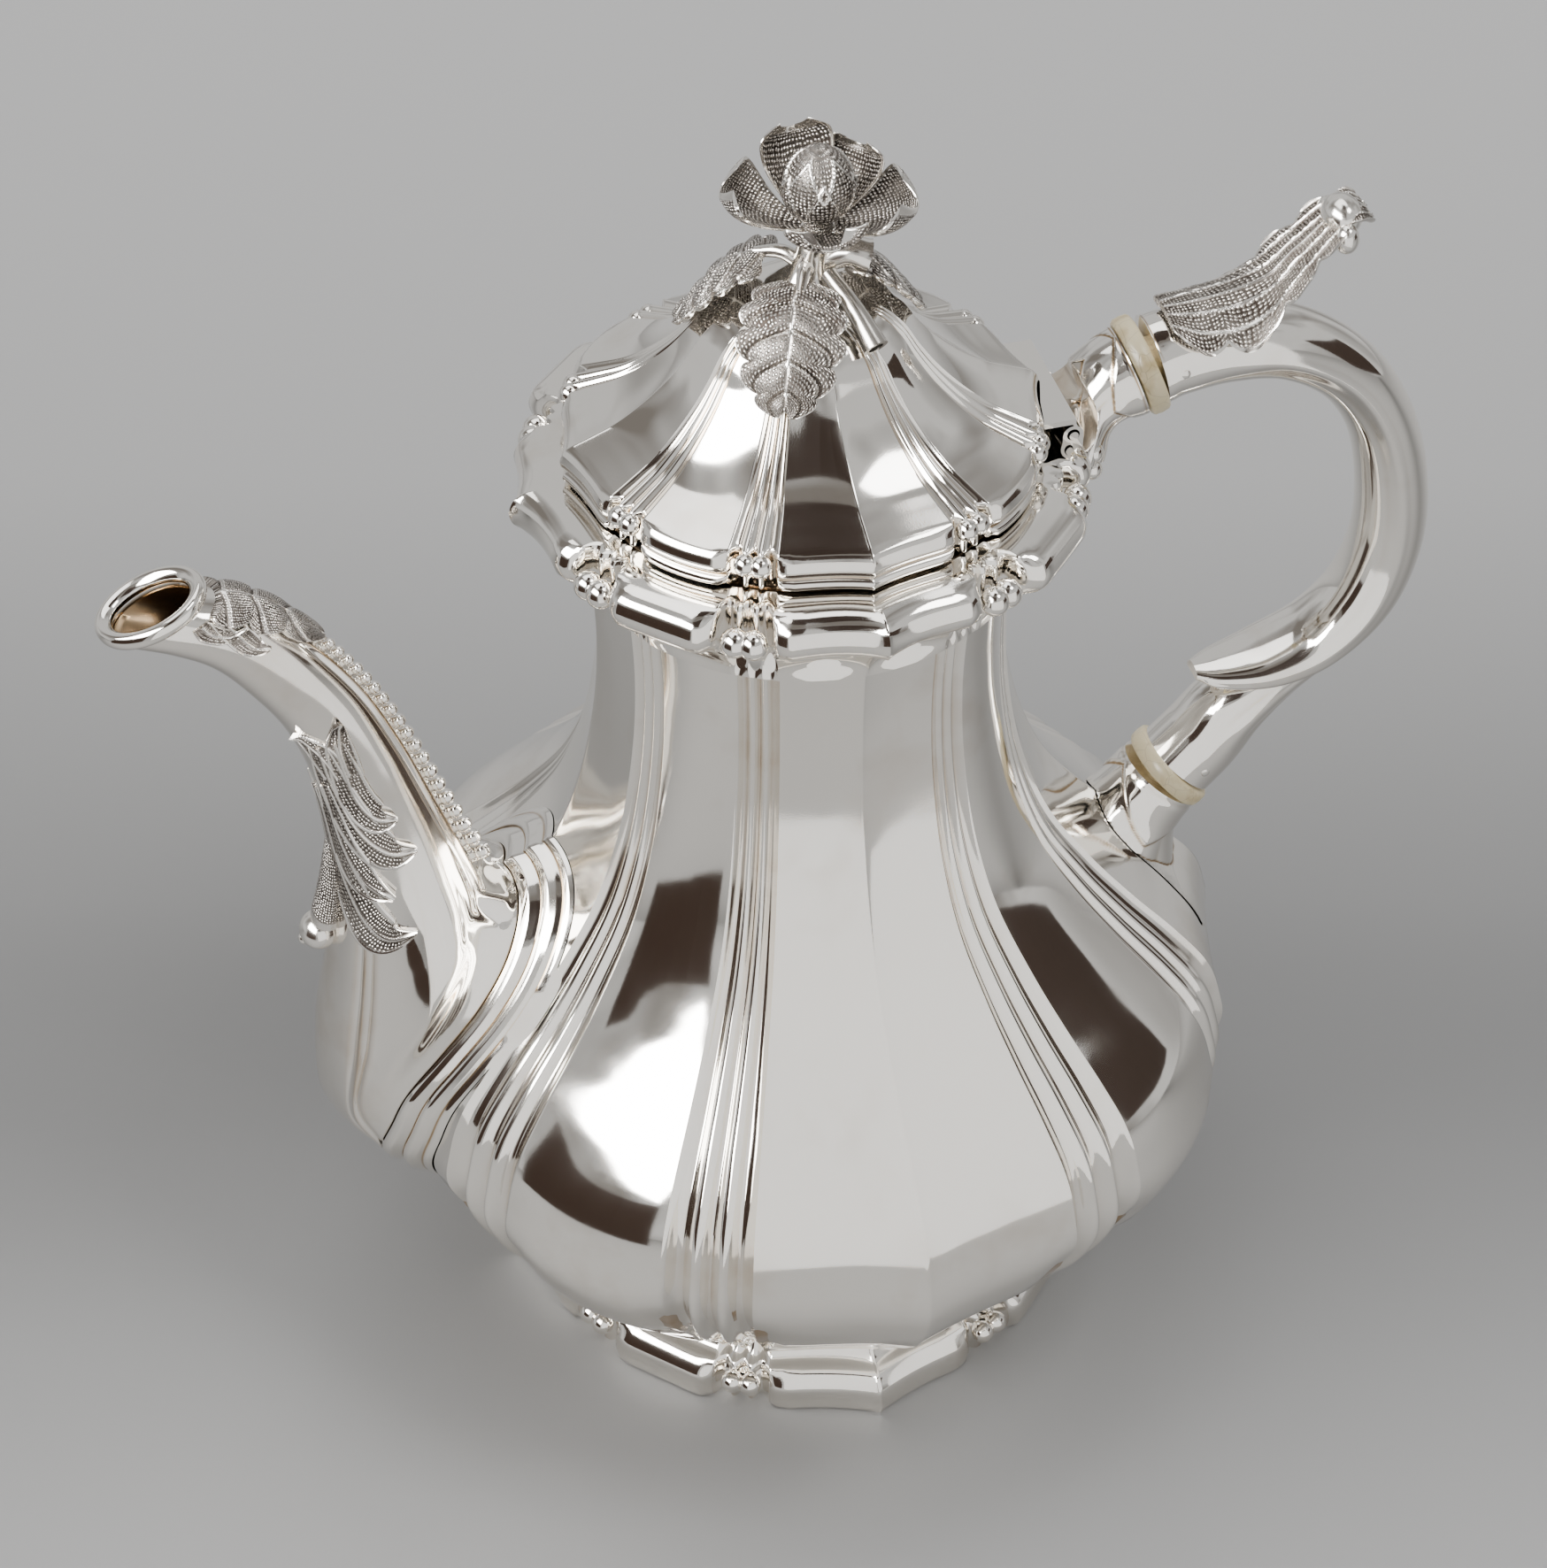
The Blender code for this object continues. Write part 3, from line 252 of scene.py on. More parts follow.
def lobe_ratio(angle, lobes):
    """Radius over crease radius. Up to the panel's edge it is a straight chord in polar form, hollowed by a sine.
    Two ribs are raised cosines side by side on the valley, and a cove leads from each to its panel's edge."""
    panel, hollow, rib, valley, edge, middle = lobes
    a = from_crease(angle)
    turn, inside = math.radians(PANEL_EDGE), np.minimum(a, PANEL_EDGE)
    chord = panel * math.sin(turn) / (panel * np.sin(turn - np.radians(inside)) + np.sin(np.radians(inside)))
    chord = chord - hollow * np.sin(np.pi * (inside / PANEL_EDGE) ** 0.75)

    def cove(start, end, top):
        """A hollow quarter curve: level with the valley beside the rib, steepest at the panel's edge."""
        return valley + (top - valley) * np.clip((a - start) / (end - start), 0, 1) ** 2

    swell = np.sin(np.clip((a - PILLOW_EDGE) / (45 - PILLOW_EDGE), 0, 1) * np.pi / 2)
    panels = np.where(a <= PANEL_EDGE, chord, cove(RIBS[0] - RIB_HALF, PANEL_EDGE, panel - 0.004))
    pillow_cove = cove(RIBS[1] + RIB_HALF, PILLOW_EDGE, edge - 0.004)
    pillows = np.where(a >= PILLOW_EDGE, edge + (middle - edge) * swell, pillow_cove)
    sides = np.where(a < (RIBS[0] + RIBS[1]) / 2, panels, pillows)
    beside = np.minimum(np.abs(a - RIBS[0]), np.abs(a - RIBS[1])) / RIB_HALF
    return np.where(beside < 1, valley + (rib - valley) * (0.5 + 0.5 * np.cos(np.pi * beside)) ** 0.75, sides)


def cushion(angle, reach):
    """1 on panels and pillows, 0 between them: each end falls as a quarter circle over `reach` degrees."""
    a = from_crease(angle)
    inside = np.where(a < sum(RIBS) / 2, PANEL_EDGE - a, a - PILLOW_EDGE)
    return np.sqrt(1 - (1 - np.clip(inside / reach, 0, 1)) ** 2)


def rolls(profile, lobes, core, reach, amount=1.0):
    """A lobed profile that swells past the core radius only on panels and pillows. Towards a roll's ends both its
    reach and its height shrink, in step with the root of how far each row stands past the core."""
    line = np.asarray(profile, float)
    past = np.clip((line[:, 0] - core) / (line[:, 0].max() - core), 0, 1) ** 0.5
    middle = np.average(line[:, 1], weights=past)
    height = line[:, 1] + (middle - line[:, 1]) * 0.6 * past
    bare = lobed(np.stack([np.minimum(line[:, 0], core), height], 1), lobes, amount)
    return bare + (lobed(line, lobes, amount) - bare) * cushion(lobe_angles(), reach)[None, :, None]


def lobed(profile, lobes, amount=1.0):
    """Rings of a lobed vessel: crease radius times lobe ratio at each column, blended to round where amount is 0."""
    angles = lobe_angles()[None]
    radius, z = np.asarray(profile)[:, :1], np.asarray(profile)[:, 1:]
    amount = np.broadcast_to(np.asarray(amount, float).reshape(-1, 1), radius.shape)
    return polar(radius * (1 - amount + amount * lobe_ratio(angles, lobes)), np.radians(angles), z)


def turned(profile, sides):
    """Rings of a turned piece: each (radius, z) carried round the axis by cosine and sine."""
    rows = np.asarray(profile, float)
    return polar(rows[:, :1], circle(sides)[None], rows[:, 1:])


def belly_x(y, z):
    """How far the belly's face stands from x = 0 at a place across and up: the radius there, less the sagitta."""
    line = spline(BELLY, 300)
    crease = np.interp(z, line[:, 1], line[:, 0])
    radius = crease
    for _ in range(4):  # the angle depends on the radius, so both settle together
        radius = crease * lobe_ratio(np.degrees(np.arcsin(np.clip(y / radius, -0.95, 0.95))), BODY_LOBES)
    return np.sqrt(np.maximum(radius**2 - y**2, 0.0))


def collar_x(y, z):
    """How far the collar's face stands from x = 0, in the same way; its crease radius never shrinks on the way up."""
    line = moulded(COLLAR, 80, 1.0)
    crease = np.interp(z, line[:, 1], np.maximum.accumulate(line[:, 0]))
    radius = crease * lobe_ratio(np.degrees(np.arcsin(np.clip(y / crease, -0.95, 0.95))), COLLAR_LOBES)
    return np.sqrt(np.maximum(radius**2 - y**2, 0.0))


# ---- closed skins ----
def grid_faces(rows, columns, wrap):
    """Four-sided faces between neighbouring rings; every ring joins round, and with wrap the last meets the first."""
    place = np.arange(rows * columns).reshape(rows, columns)
    place = np.concatenate([place, place[:, :1]], 1)
    if wrap:
        place = np.concatenate([place, place[:1]], 0)
    return np.stack([place[:-1, :-1], place[:-1, 1:], place[1:, 1:], place[1:, :-1]], -1).reshape(-1, 4)


def volume(points, faces):
    """Six times the enclosed volume: the sum of triple products of the faces' corners."""
    a, b, c, d = (points[faces[:, k]] for k in range(4))
    return np.einsum("ij,ij->", a, np.cross(b, c)) + np.einsum("ij,ij->", a, np.cross(c, d))


def concave(rings, sign):
    """Curvature towards the eye: how far neighbours two places away stand proud of a point, over distance squared."""
    along, across = np.gradient(rings, axis=0), np.roll(rings, -1, 1) - np.roll(rings, 1, 1)
    normal = unit(np.cross(across, along) * sign)
    total = 0.0
    rows = np.arange(len(rings))
    around = np.roll(rings, -2, 1), np.roll(rings, 2, 1)
    up_down = rings[np.minimum(rows + 1, rows[-1])], rings[np.maximum(rows - 1, 0)]
    for ahead, behind in (around, up_down):
        one, two = ahead - rings, behind - rings
        near, far = (np.linalg.norm(v, axis=2, keepdims=True) + 1e-3 for v in (one, two))
        total = total + np.sum((one / near + two / far) * normal, axis=2) * 2 / (near + far)[..., 0]
    return total


def skin(rings, wrap=False, shade_and_tarnish_mask=None, chasing=None, depth=0.5):
    """A closed shell over rings: pole ends close on their middle. The mask of painted shade and sulphide is given, or
    follows concave places.
    """
    rings = np.asarray(rings, float)
    rows, columns = rings.shape[:2]
    points, faces = rings.reshape(-1, 3), grid_faces(rows, columns, wrap)
    if not wrap:
        top = len(points)
        points = np.concatenate([points, [rings[0].mean(0), rings[-1].mean(0)]])
        ring = np.arange(columns)
        ahead = np.roll(ring, -1)
        start = np.stack([ahead, ring, np.full(columns, top), np.full(columns, top)], 1)
        base = (rows - 1) * columns
        end = np.stack([base + ring, base + ahead, np.full(columns, top + 1), np.full(columns, top + 1)], 1)
        faces = np.concatenate([faces, start, end])
    sign = 1.0 if volume(points, faces) > 0 else -1.0
    # Painted shade: unless given, the mask follows concave places and darkens them as shade would, along with real
    # sulphide there.
    if shade_and_tarnish_mask is None:
        shade_and_tarnish_mask = np.clip(concave(rings, sign) * depth, 0, 1)
    values = np.broadcast_to(shade_and_tarnish_mask, (rows, columns)).reshape(-1)
    flow = np.zeros((rows * columns, 3)) + (0, 0, 1) if chasing is None else np.asarray(chasing).reshape(-1, 3)
    if not wrap:
        values = np.concatenate([values, [values[0], values[-1]]])
        flow = np.concatenate([flow, flow[:1], flow[-1:]])
    return points, faces if sign > 0 else faces[:, ::-1], values, flow


def leaf_skin(top, low, chasing):
    """A closed plate: each ring runs over the top and back underneath, and the two ends are stitched shut."""
    rings = np.concatenate([top, low[:, ::-1]], 1)
    rows, columns = rings.shape[:2]
    half = columns // 2
    points, faces = rings.reshape(-1, 3), grid_faces(rows, columns, False)
    j = np.arange(half - 1)
    start = np.stack([j + 1, j, columns - 1 - j, columns - 2 - j], 1)
    end = np.stack([j, j + 1, columns - 2 - j, columns - 1 - j], 1) + (rows - 1) * columns
    faces = np.concatenate([faces, start, end])
    flow = np.concatenate([chasing, chasing[:, ::-1]], 1).reshape(-1, 3)
    sign = 1.0 if volume(points, faces) > 0 else -1.0
    # Painted shade: concave places of the plate are darkened as shade would fall there, along with real sulphide.
    shade_and_tarnish_mask = np.clip(concave(rings, sign) * 0.5, 0, 1).reshape(-1)
    return points, faces if sign > 0 else faces[:, ::-1], shade_and_tarnish_mask, flow


def ball(middle, radius, sides=26, rows=16, stretch=(1, 1, 1)):
    """A sphere on rings of latitude: cosine of latitude out, sine up, times the radius and a stretch."""
    up = np.linspace(-np.pi / 2, np.pi / 2, rows + 2)[1:-1, None]
    grid = polar(np.cos(up), circle(sides)[None], np.sin(up))
    return skin(np.asarray(middle) + grid * radius * np.asarray(stretch), shade_and_tarnish_mask=0.0)


def rib_balls(radius, z, size, lobes):
    """The round beads that end each rib: eight pairs on a circle."""
    angles = [math.radians(k * 90 + s * a) for k in range(4) for s in (-1, 1) for a in RIBS]
    reach = radius * lobes[2]
    return [ball((reach * math.cos(a), reach * math.sin(a), z), size) for a in angles]


def make_piece(name, shells, finish, body, nodes):
    """One object from closed shells, with its mask of painted shade and real sulphide, and its chasing, stored on the
    points. A face whose first or last two corners are one becomes a triangle."""
    points = np.concatenate([shell[0] for shell in shells]) * MM
    starts = np.cumsum([0] + [len(shell[0]) for shell in shells[:-1]])
    faces = np.concatenate([shell[1] + start for shell, start in zip(shells, starts)])
    kept = np.ones(faces.shape, bool)
    kept[:, 0] = faces[:, 0] != faces[:, 1]
    kept[:, 3] = faces[:, 2] != faces[:, 3]
    corners, sizes = faces[kept], kept.sum(1)
    mesh = bpy.data.meshes.new(name)
    mesh.vertices.add(len(points))
    mesh.vertices.foreach_set("co", points.astype(np.float32).ravel())
    mesh.loops.add(len(corners))
    mesh.loops.foreach_set("vertex_index", corners.astype(np.int32))
    mesh.polygons.add(len(sizes))
    mesh.polygons.foreach_set("loop_start", (np.cumsum(sizes) - sizes).astype(np.int32))
    mesh.update(calc_edges=True)
    for label, kind, column in (("shade_and_tarnish_mask", "FLOAT", 2), ("chasing", "FLOAT_VECTOR", 3)):
        layer = mesh.attributes.new(label, kind, "POINT")
        data = np.concatenate([shell[column] for shell in shells]).astype(np.float32).ravel()
        layer.data.foreach_set("value" if kind == "FLOAT" else "vector", data)
    mesh.shade_smooth()
    mesh.set_sharp_from_angle(angle=math.radians(55))
    mesh.materials.append(finishes[finish])
    obj = bpy.data.objects.new(name, mesh)
    bpy.context.scene.collection.objects.link(obj)
    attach(obj, body)
    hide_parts(*nodes)
    return obj


# ---- vessel ----
def foot_shells():
    """The foot: its smoothed profile times the lobe ratio outside, the same profile 2 mm further in underneath."""
    outer = rolls(moulded(FOOT, 46, 1.6), FOOT_LOBES, *FOOT_ROLL)
    inner = lobed(moulded([(r - 2.0, z) for r, z in FOOT], 16, 2.0)[::-1], FOOT_LOBES)
    inner[0, :, 2] -= 0.6
    inner[-1, :, 2] = 0.0
    roof = lobed([(45.0, FOOT[-1][1]), (45.0, FOOT[-1][1] - 0.6)], FOOT_LOBES)
    shell = skin(np.concatenate([outer, roof, inner]), wrap=True, depth=0.15)
    return [shell, *rib_balls(*FOOT_BEADS, FOOT_LOBES)]


def body_shells():
    """Belly and neck: a cubic profile times the lobe ratio, round again at the mouth, with the panels' edges drawn
    in by two bells round the widest part, and a wall's thickness further in for the inside."""
    line = spline(BELLY, 116)
    outer = lobed(line, BODY_LOBES, 1 - step_up(line[:, 1], 181.5, 184.5))
    a = from_crease(lobe_angles()[None])
    edge = bell(a, PANEL_EDGE - 0.6, 2.4) + bell(a, PILLOW_EDGE + 0.6, 2.4)
    low = step_up(-line[:, 1:], -68.0, -52.0) * (1 - step_up(-line[:, 1:], -44.0, -26.0))
    outer[..., :2] *= (1 - 0.022 * edge * low)[..., None]
    neck = lobed([(39.3, 190.0), (39.0, 195.6), (38.4, 196.0), (37.9, 195.6)], BODY_LOBES, 0.0)
    inside = spline([(r - WALL - 0.2, max(z, 21.8)) for r, z in BELLY[::-1]], 36)
    inner = lobed(inside, BODY_LOBES, 1 - step_up(inside[:, 1], 176, 181))
    rings = np.concatenate([outer, neck, inner])
    shade_and_tarnish_mask = np.clip(concave(rings, 1.0) * 0.12, 0, 1)
    # Painted shade: the whole inside of the body is darkened evenly by the mask.
    shade_and_tarnish_mask[len(outer) + len(neck) :] = 0.55
    return [skin(rings, shade_and_tarnish_mask=shade_and_tarnish_mask)]


def collar_shells():
    """The collar: a smoothed profile times the lobe ratio, which starts and ends round, over a plain bore."""
    rows = 64
    line = moulded(COLLAR, rows, 1.5)
    outer = rolls(line, COLLAR_LOBES, *COLLAR_ROLL, step_up(line[:, 1], 180.0, 186.0))
    crown = step_up(np.arange(rows), 50, rows)[:, None, None]
    outer = outer * (1 - crown) + lobed(line, COLLAR_LOBES, 0.0) * crown
    bore = lobed([(40.9, 200.8), (40.9, 196.2), (39.8, 196.0), (39.8, 190.0), (39.9, 181.4)], COLLAR_LOBES, 0.0)
    shell = skin(np.concatenate([outer, bore]), wrap=True, depth=0.10)
    return [shell, *rib_balls(*COLLAR_BEADS, COLLAR_LOBES)]


def lid_shells():
    """The lid: rolled rim and cubic dome times the lobe ratio, which fades to round near the finial."""
    rim, dome = moulded(LID_RIM, 34, 0.45), spline(LID_DOME, 70)
    fade = step_up(dome[:, 0], 8, 19)
    inside = spline([(max(r - WALL, 2.4), z - WALL) for r, z in LID_DOME[::-1]], 24)
    inner = lobed(inside, LID_LOBES, step_up(inside[:, 0], 8, 19))
    skirt = lobed([(41.4, 205.0), (41.4, 201.9)], LID_LOBES)
    rings = np.concatenate([rolls(rim, LID_LOBES, *LID_ROLL), lobed(dome[1:], LID_LOBES, fade[1:]), inner, skirt])
    shade_and_tarnish_mask = np.clip(concave(rings, 1.0) * 0.16, 0, 1)
    # Painted shade: the inside of the lid and its skirt are darkened evenly by the mask.
    shade_and_tarnish_mask[-len(inner) - 2 :] = 0.5
    return [skin(rings, wrap=True, shade_and_tarnish_mask=shade_and_tarnish_mask), *rib_balls(*LID_BEADS, LID_LOBES)]


def turned_ring(profile):
    """A plain ring: a closed profile carried round the pot's axis."""
    return [skin(turned(profile, 192), wrap=True, shade_and_tarnish_mask=0.3)]


# ---- spout ----
def root_ring(k, reach, turn):
    """The spout's foot laid on the belly: an oval between the spout's end (k = 0) and its moulding (k = 1)."""
    middle, height, width = (a + (b - a) * k for a, b in zip(ROOT, ROOT_EDGE))
    y, z = np.sin(turn) * width, middle + np.cos(turn) * height
    return np.stack([-belly_x(y, z) - reach, y, z], 1)


def spout_rings(count, columns, grow=0.0):
    """Ovals over upper and front edges, joined to the foot's outline by cubics through every column."""
    turn = circle(columns)
    xi, zi, xo, zo, half = (np.array(c)[:, None] for c in zip(*SPOUT))
    depth = np.hypot(xi - xo, zi - zo) / 2
    ux, uz = (xi - xo) / (2 * depth), (zi - zo) / (2 * depth)
    c, s = np.cos(turn)[None], np.sin(turn)[None]
    reach = c * (depth + grow)
    rings = np.stack([(xi + xo) / 2 + reach * ux, s * (half + grow), (zi + zo) / 2 + reach * uz], 2)
    end = root_ring(grow / 4.5, ROOT_REACH, turn)
    bulge = (rings[-1] + end) / 2 + (1 - c[0, :, None]) / 2 * np.array([-4.0, 0.0, -3.0])
    return spline(np.concatenate([rings, bulge[None], end[None]]), count)


def spout_relief(turn, along):
    """Millimetres that the chaser's lines stand proud or sunk: bead channel, side crease and front groove, each a
    bell or a ridge across the spout that fades in and out along it."""
    t = from_top(turn)[None]
    s = along[:, None]
    beads = step_up(s, 0.22, 0.30) * (1 - step_up(s, 0.93, 0.99))
    channel = (0.5 * bell(t, 24, 4) - 0.5 * bell(t, 12, 7) - 0.3 * bell(t, 33, 3)) * beads
    lower = step_up(s, 0.55, 0.78)
    foot = 1 - step_up(s, 0.84, 0.97)
    crease = 2.0 * np.clip(1 - np.abs(t - 84) / 34, 0, 1) * lower * foot
    hollow = -0.6 * bell(t, 112, 12) * lower * foot
    groove = (-1.0 * bell(t, 128, 2.6) - 0.9 * bell(t, 137, 2.6) + 0.5 * bell(t, 132.5, 2.0)) * lower
    front = 0.9 * bell(t, 180, 14) * lower
    return channel + crease + hollow + groove + front


def spout_shells():
    """The spout's tube: its rings moved square to their face by the relief, and thinner rings back down inside."""
    outer = spout_rings(SPOUT_ROWS, SPOUT_COLUMNS)
    away = unit(spout_rings(SPOUT_ROWS, SPOUT_COLUMNS, 1.0) - outer)
    relief = spout_relief(circle(SPOUT_COLUMNS), np.linspace(0, 1, SPOUT_ROWS))
    outer = outer + away * relief[..., None]
    inner = spout_rings(60, SPOUT_COLUMNS, -WALL)[::-1]
    rings = np.concatenate([outer, inner])
    shade_and_tarnish_mask = np.clip(concave(rings, 1.0) * 0.4, 0, 1)
    # Painted shade: the inside of the spout gets the full mask, the darkest colour.
    shade_and_tarnish_mask[len(outer) :] = 1.0
    return [skin(rings, wrap=True, shade_and_tarnish_mask=shade_and_tarnish_mask)]


def moulding_shells():
    """Two round bands and a fillet: the smoothed moulding carried round the root's outline."""
    turn = circle(SPOUT_COLUMNS)
    steps = moulded(MOULDING, 44, 0.16)
    rings = [root_ring(k, reach, turn) for k, reach in steps] + [root_ring(-0.3, 0.3, turn)]
    return [skin(np.array(rings), wrap=True)]


def lip_shells():
    """The rolled lip: a small egg-shaped section carried round the oval of the spout's end."""
    xi, zi, xo, zo, half = SPOUT[0]
    depth = math.hypot(xi - xo, zi - zo)
    along = np.array([xi - xo, 0.0, zi - zo]) / depth
    normal = np.array([-along[2], 0.0, along[0]])
    middle = np.array([(xi + xo) / 2, 0.0, (zi + zo) / 2]) + normal * 1.85
    turn = circle(96)
    out = np.outer(np.cos(turn), along) + np.outer(np.sin(turn), (0, 1, 0))
    path = middle + np.outer(np.cos(turn) * depth / 2, along) + np.outer(np.sin(turn) * half, (0, 1, 0))
    around = circle(20)[:, None, None]
    rise = (1.5 + 0.4 * np.cos(around)) * np.sin(around)
    rings = path[None] + out[None] * 1.5 * np.cos(around) + normal * rise
    return [skin(rings, wrap=True, shade_and_tarnish_mask=0.0)]


def bead_shells(count):
    """Graded beads in the channel of the spout's upper edge, spaced in step with their own sizes."""
    rows, first, last = 200, 66, 186
    sizes = np.linspace(0.95, 1.75, count)
    ridge = spline([(a, b) for a, b, *_ in SPOUT], rows)
    edge = spline([(c, d) for _, _, c, d, _ in SPOUT], rows)
    along = np.concatenate([[0], np.cumsum(np.hypot(*np.diff(ridge, axis=0).T))])
    steps = np.cumsum(sizes) - sizes / 2
    start, end = along[first], along[last]
    spot = start + (end - start) * (steps - steps[0]) / (steps[-1] - steps[0])
    place = np.stack([np.interp(spot, along, ridge[:, k]) for k in (0, 1)], 1)
    lift = place - np.stack([np.interp(spot, along, edge[:, k]) for k in (0, 1)], 1)
    middles = place + unit(lift) * sizes[:, None] * 0.55
    return [ball((x, 0.0, z), size, 16, 10) for (x, z), size in zip(middles, sizes)]


# ---- chased leaves ----
def leaf_grid(rows, columns):
    """Way along a leaf, 0 to 1, and way across it, -1 to 1, on a grid."""
    u = np.linspace(0, 1, rows)[:, None]
    v = np.linspace(-1, 1, columns)[None]
    return u + 0 * v, v + 0 * u


def scallops(u, lobes, bite):
    """An edge cut into round lobes that lean forward: the root of a sine along a bent length."""
    bent = (lobes * u) % 1.0
    return 1 - bite * (1 - np.sqrt(np.clip(np.sin(np.pi * np.clip(bent * 0.86 + 0.07, 0, 1)), 0, 1)))


def vein_relief(u, v, width, lobes):
    """Height and polish of a leaf's face: a midrib, domed lobes with a dark groove between them, and bright rims.
    Each groove leaves the midrib and sweeps forward; a lobe's dome is the root of a sine from groove to groove."""
    sweep = lobes * (u - LEAF_SWEEP * np.abs(v) ** 1.4)
    place = sweep % 1.0
    groove = bell(np.minimum(place, 1 - place), 0, 0.06) * step_up(np.abs(v), 0.02, 0.2)
    midrib = bell(v * width, 0, 0.35)
    rim = step_up(np.maximum(np.abs(v), 1.18 - place * 1.6), 0.93, 1.0) * (1 - groove)
    dome = np.sqrt(np.sin(np.pi * place)) * 0.7
    height = 0.5 * midrib + dome * (1 - midrib) - 0.3 * groove
    return height, np.clip(0.7 * midrib + 0.55 * rim, 0, 1), sweep


def chased_plate(base, normal, u, v, length, width, lobes, lift, thick):
    """A plate over a surface: lifted by its thickness and its veins, with the tool's rows along the veins."""
    height, polish, sweep = vein_relief(u, v, width, lobes)
    top = base + normal * (lift + height)[..., None]
    low = base + normal * (lift - thick * np.sqrt(1.02 - np.abs(v) ** 8))[..., None]
    flow = np.stack([sweep * length / lobes, v * width, polish], 2)
    return leaf_skin(top, low, flow)


def sample(rings, rows, columns):
    """Points between a grid's lines, by linear weights in both directions; columns count round the ring."""
    count, sides = rings.shape[:2]
    r, c = np.clip(rows, 0, count - 1.001), columns % sides
    i, j = r.astype(int), c.astype(int)
    s, t = (r - i)[..., None], (c - j)[..., None]
    ahead = (j + 1) % sides
    here = rings[i, j] * (1 - s) + rings[i + 1, j] * s
    beside = rings[i, ahead] * (1 - s) + rings[i + 1, ahead] * s
    return here * (1 - t) + beside * t


def on_spout(along, degrees):
    """Places on the spout's face and their unit normals; degrees are counted from the upper edge."""
    rows, columns = along * (SPOUT_ROWS - 1), degrees / 360 * SPOUT_COLUMNS
    near, far = (sample(spout_rings(SPOUT_ROWS, SPOUT_COLUMNS, grow), rows, columns) for grow in (0.0, 1.0))
    return near, unit(far - near)


def face_normal(base):
    """Unit normals of a grid of points, the cross product of its two directions, on the side that looks up."""
    normal = np.cross(np.gradient(base, axis=0), np.gradient(base, axis=1))
    return unit(normal * np.sign(normal[..., 2:].mean()))


def spout_ribbon(path, side):
    """A lobe of acanthus on the spout: rows are (way along, degrees from the front edge, half width in mm).
    The lobe's width runs square to its middle line, measured over the spout's face, and its tip lifts."""
    u, v = leaf_grid(70, 31)
    line = spline(path, 70)
    flat = line[:, :2] * (SPOUT_LENGTH, MM_PER_DEGREE)
    ahead = unit(np.gradient(flat, axis=0))
    across = v * line[:, 2:]
    degrees = line[:, 1:2] + ahead[:, :1] * across / MM_PER_DEGREE
    base, normal = on_spout(line[:, :1] - ahead[:, 1:] * across / SPOUT_LENGTH, 180 + side * degrees)
    rim = bell(np.abs(v), 0.90, 0.12) + 0.8 * bell(v * line[:, 2:], 0.0, 0.35)
    lift = 0.5 + 0.45 * rim + 0.9 * step_up(u, 0.7, 1.0) - 0.25 * v**2
    length = np.linalg.norm(np.diff(flat, axis=0), axis=1).sum()
    flow = np.stack([u * length, across, np.clip(rim, 0, 1) + step_up(u, 0.84, 0.95)], 2)
    return leaf_skin(base + normal * lift[..., None], base + normal * (lift - 1.1)[..., None], flow)


def tip_leaf_shells():
    """The leaf that wraps the spout behind its lip: a plate along the top, whose half width is the root of one less
    a power, and two curled lobes on each side."""
    start, share, lobes = 0.03, 0.24, 3
    u, v = leaf_grid(90, 61)
    half = (52 * np.sqrt(np.clip(1 - u**2.2, 0.0, 1)) + 3) * scallops(u, lobes, 0.42)
    plate = chased_plate(*on_spout(start + share * u, v * half), u, v, share * SPOUT_LENGTH, 9.0, lobes, 0.9, 0.9)
    return [plate] + [spout_ribbon(path, side) for path in TIP_LOBES for side in (-1, 1)]


def side_leaf_shells(side):
    """Long acanthus down one side of the spout: four lobes grow from its front edge and curl back at their tips."""
    return [spout_ribbon(path, side) for path in SIDE_LOBES]


def foot_curl_shells():
    """The rolled end of the acanthus: a ball under a short tongue."""
    steps = 40
    rings = swept(spline(CURL, steps), steps)
    u, turn = np.linspace(0, 1, steps)[:, None], circle(steps)[None]
    flow = np.stack([u * 26 + 0 * turn, turn * 3.4 + 0 * u, step_up(u, 0.88, 1.0) + 0 * turn], 2)
    bead = ball((-97.4, 0.0, 104.6), 1.2, 16, 10)
    return [ball((-94.6, 0.0, 106.2), 3.6, 28, 18, (1, 1.15, 1)), bead, skin(rings, shade_and_tarnish_mask=0.1, chasing=flow)]


# ---- handle ----
def swept(line, sides, relief=None):
    """Ovals square to a line in the plane y = 0 (x, z, radius in the plane, radius across), with relief added."""
    along = unit(np.gradient(line[:, :2], axis=0))
    turn = circle(sides)[None]
    x, z, r, across = (line[:, k : k + 1] for k in range(4))
    extra = 0.0 if relief is None else relief(turn, np.linspace(0, 1, len(line))[:, None])
    c, s = np.cos(turn) * (r + extra), np.sin(turn) * (across + extra)
    return np.stack([x - along[:, 1:] * c, s, z + along[:, :1] * c], 2)


def scroll_relief(turn, along):
    """A ridge down each side of the tube, and a hollowed back at the lower end between two rolled edges."""
    t = from_top(turn)
    sides = 0.35 * bell(t, 96, 9) - 0.25 * bell(t, 120, 12)
    end = step_up(along, 0.66, 0.84)
    rolled = 0.8 * bell(t, 62, 16) - 1.6 * bell(t, 0, 42)
    return sides * step_up(along, 0.1, 0.3) * (1 - end) + rolled * end * (1 - step_up(along, 0.93, 1.0) * 0.7)


def scroll_shells():
    """The C-scroll: ovals on a cubic through its middle line, with the scroll's relief."""
    return [skin(swept(spline(SCROLL, 190), 120, scroll_relief), depth=0.8)]


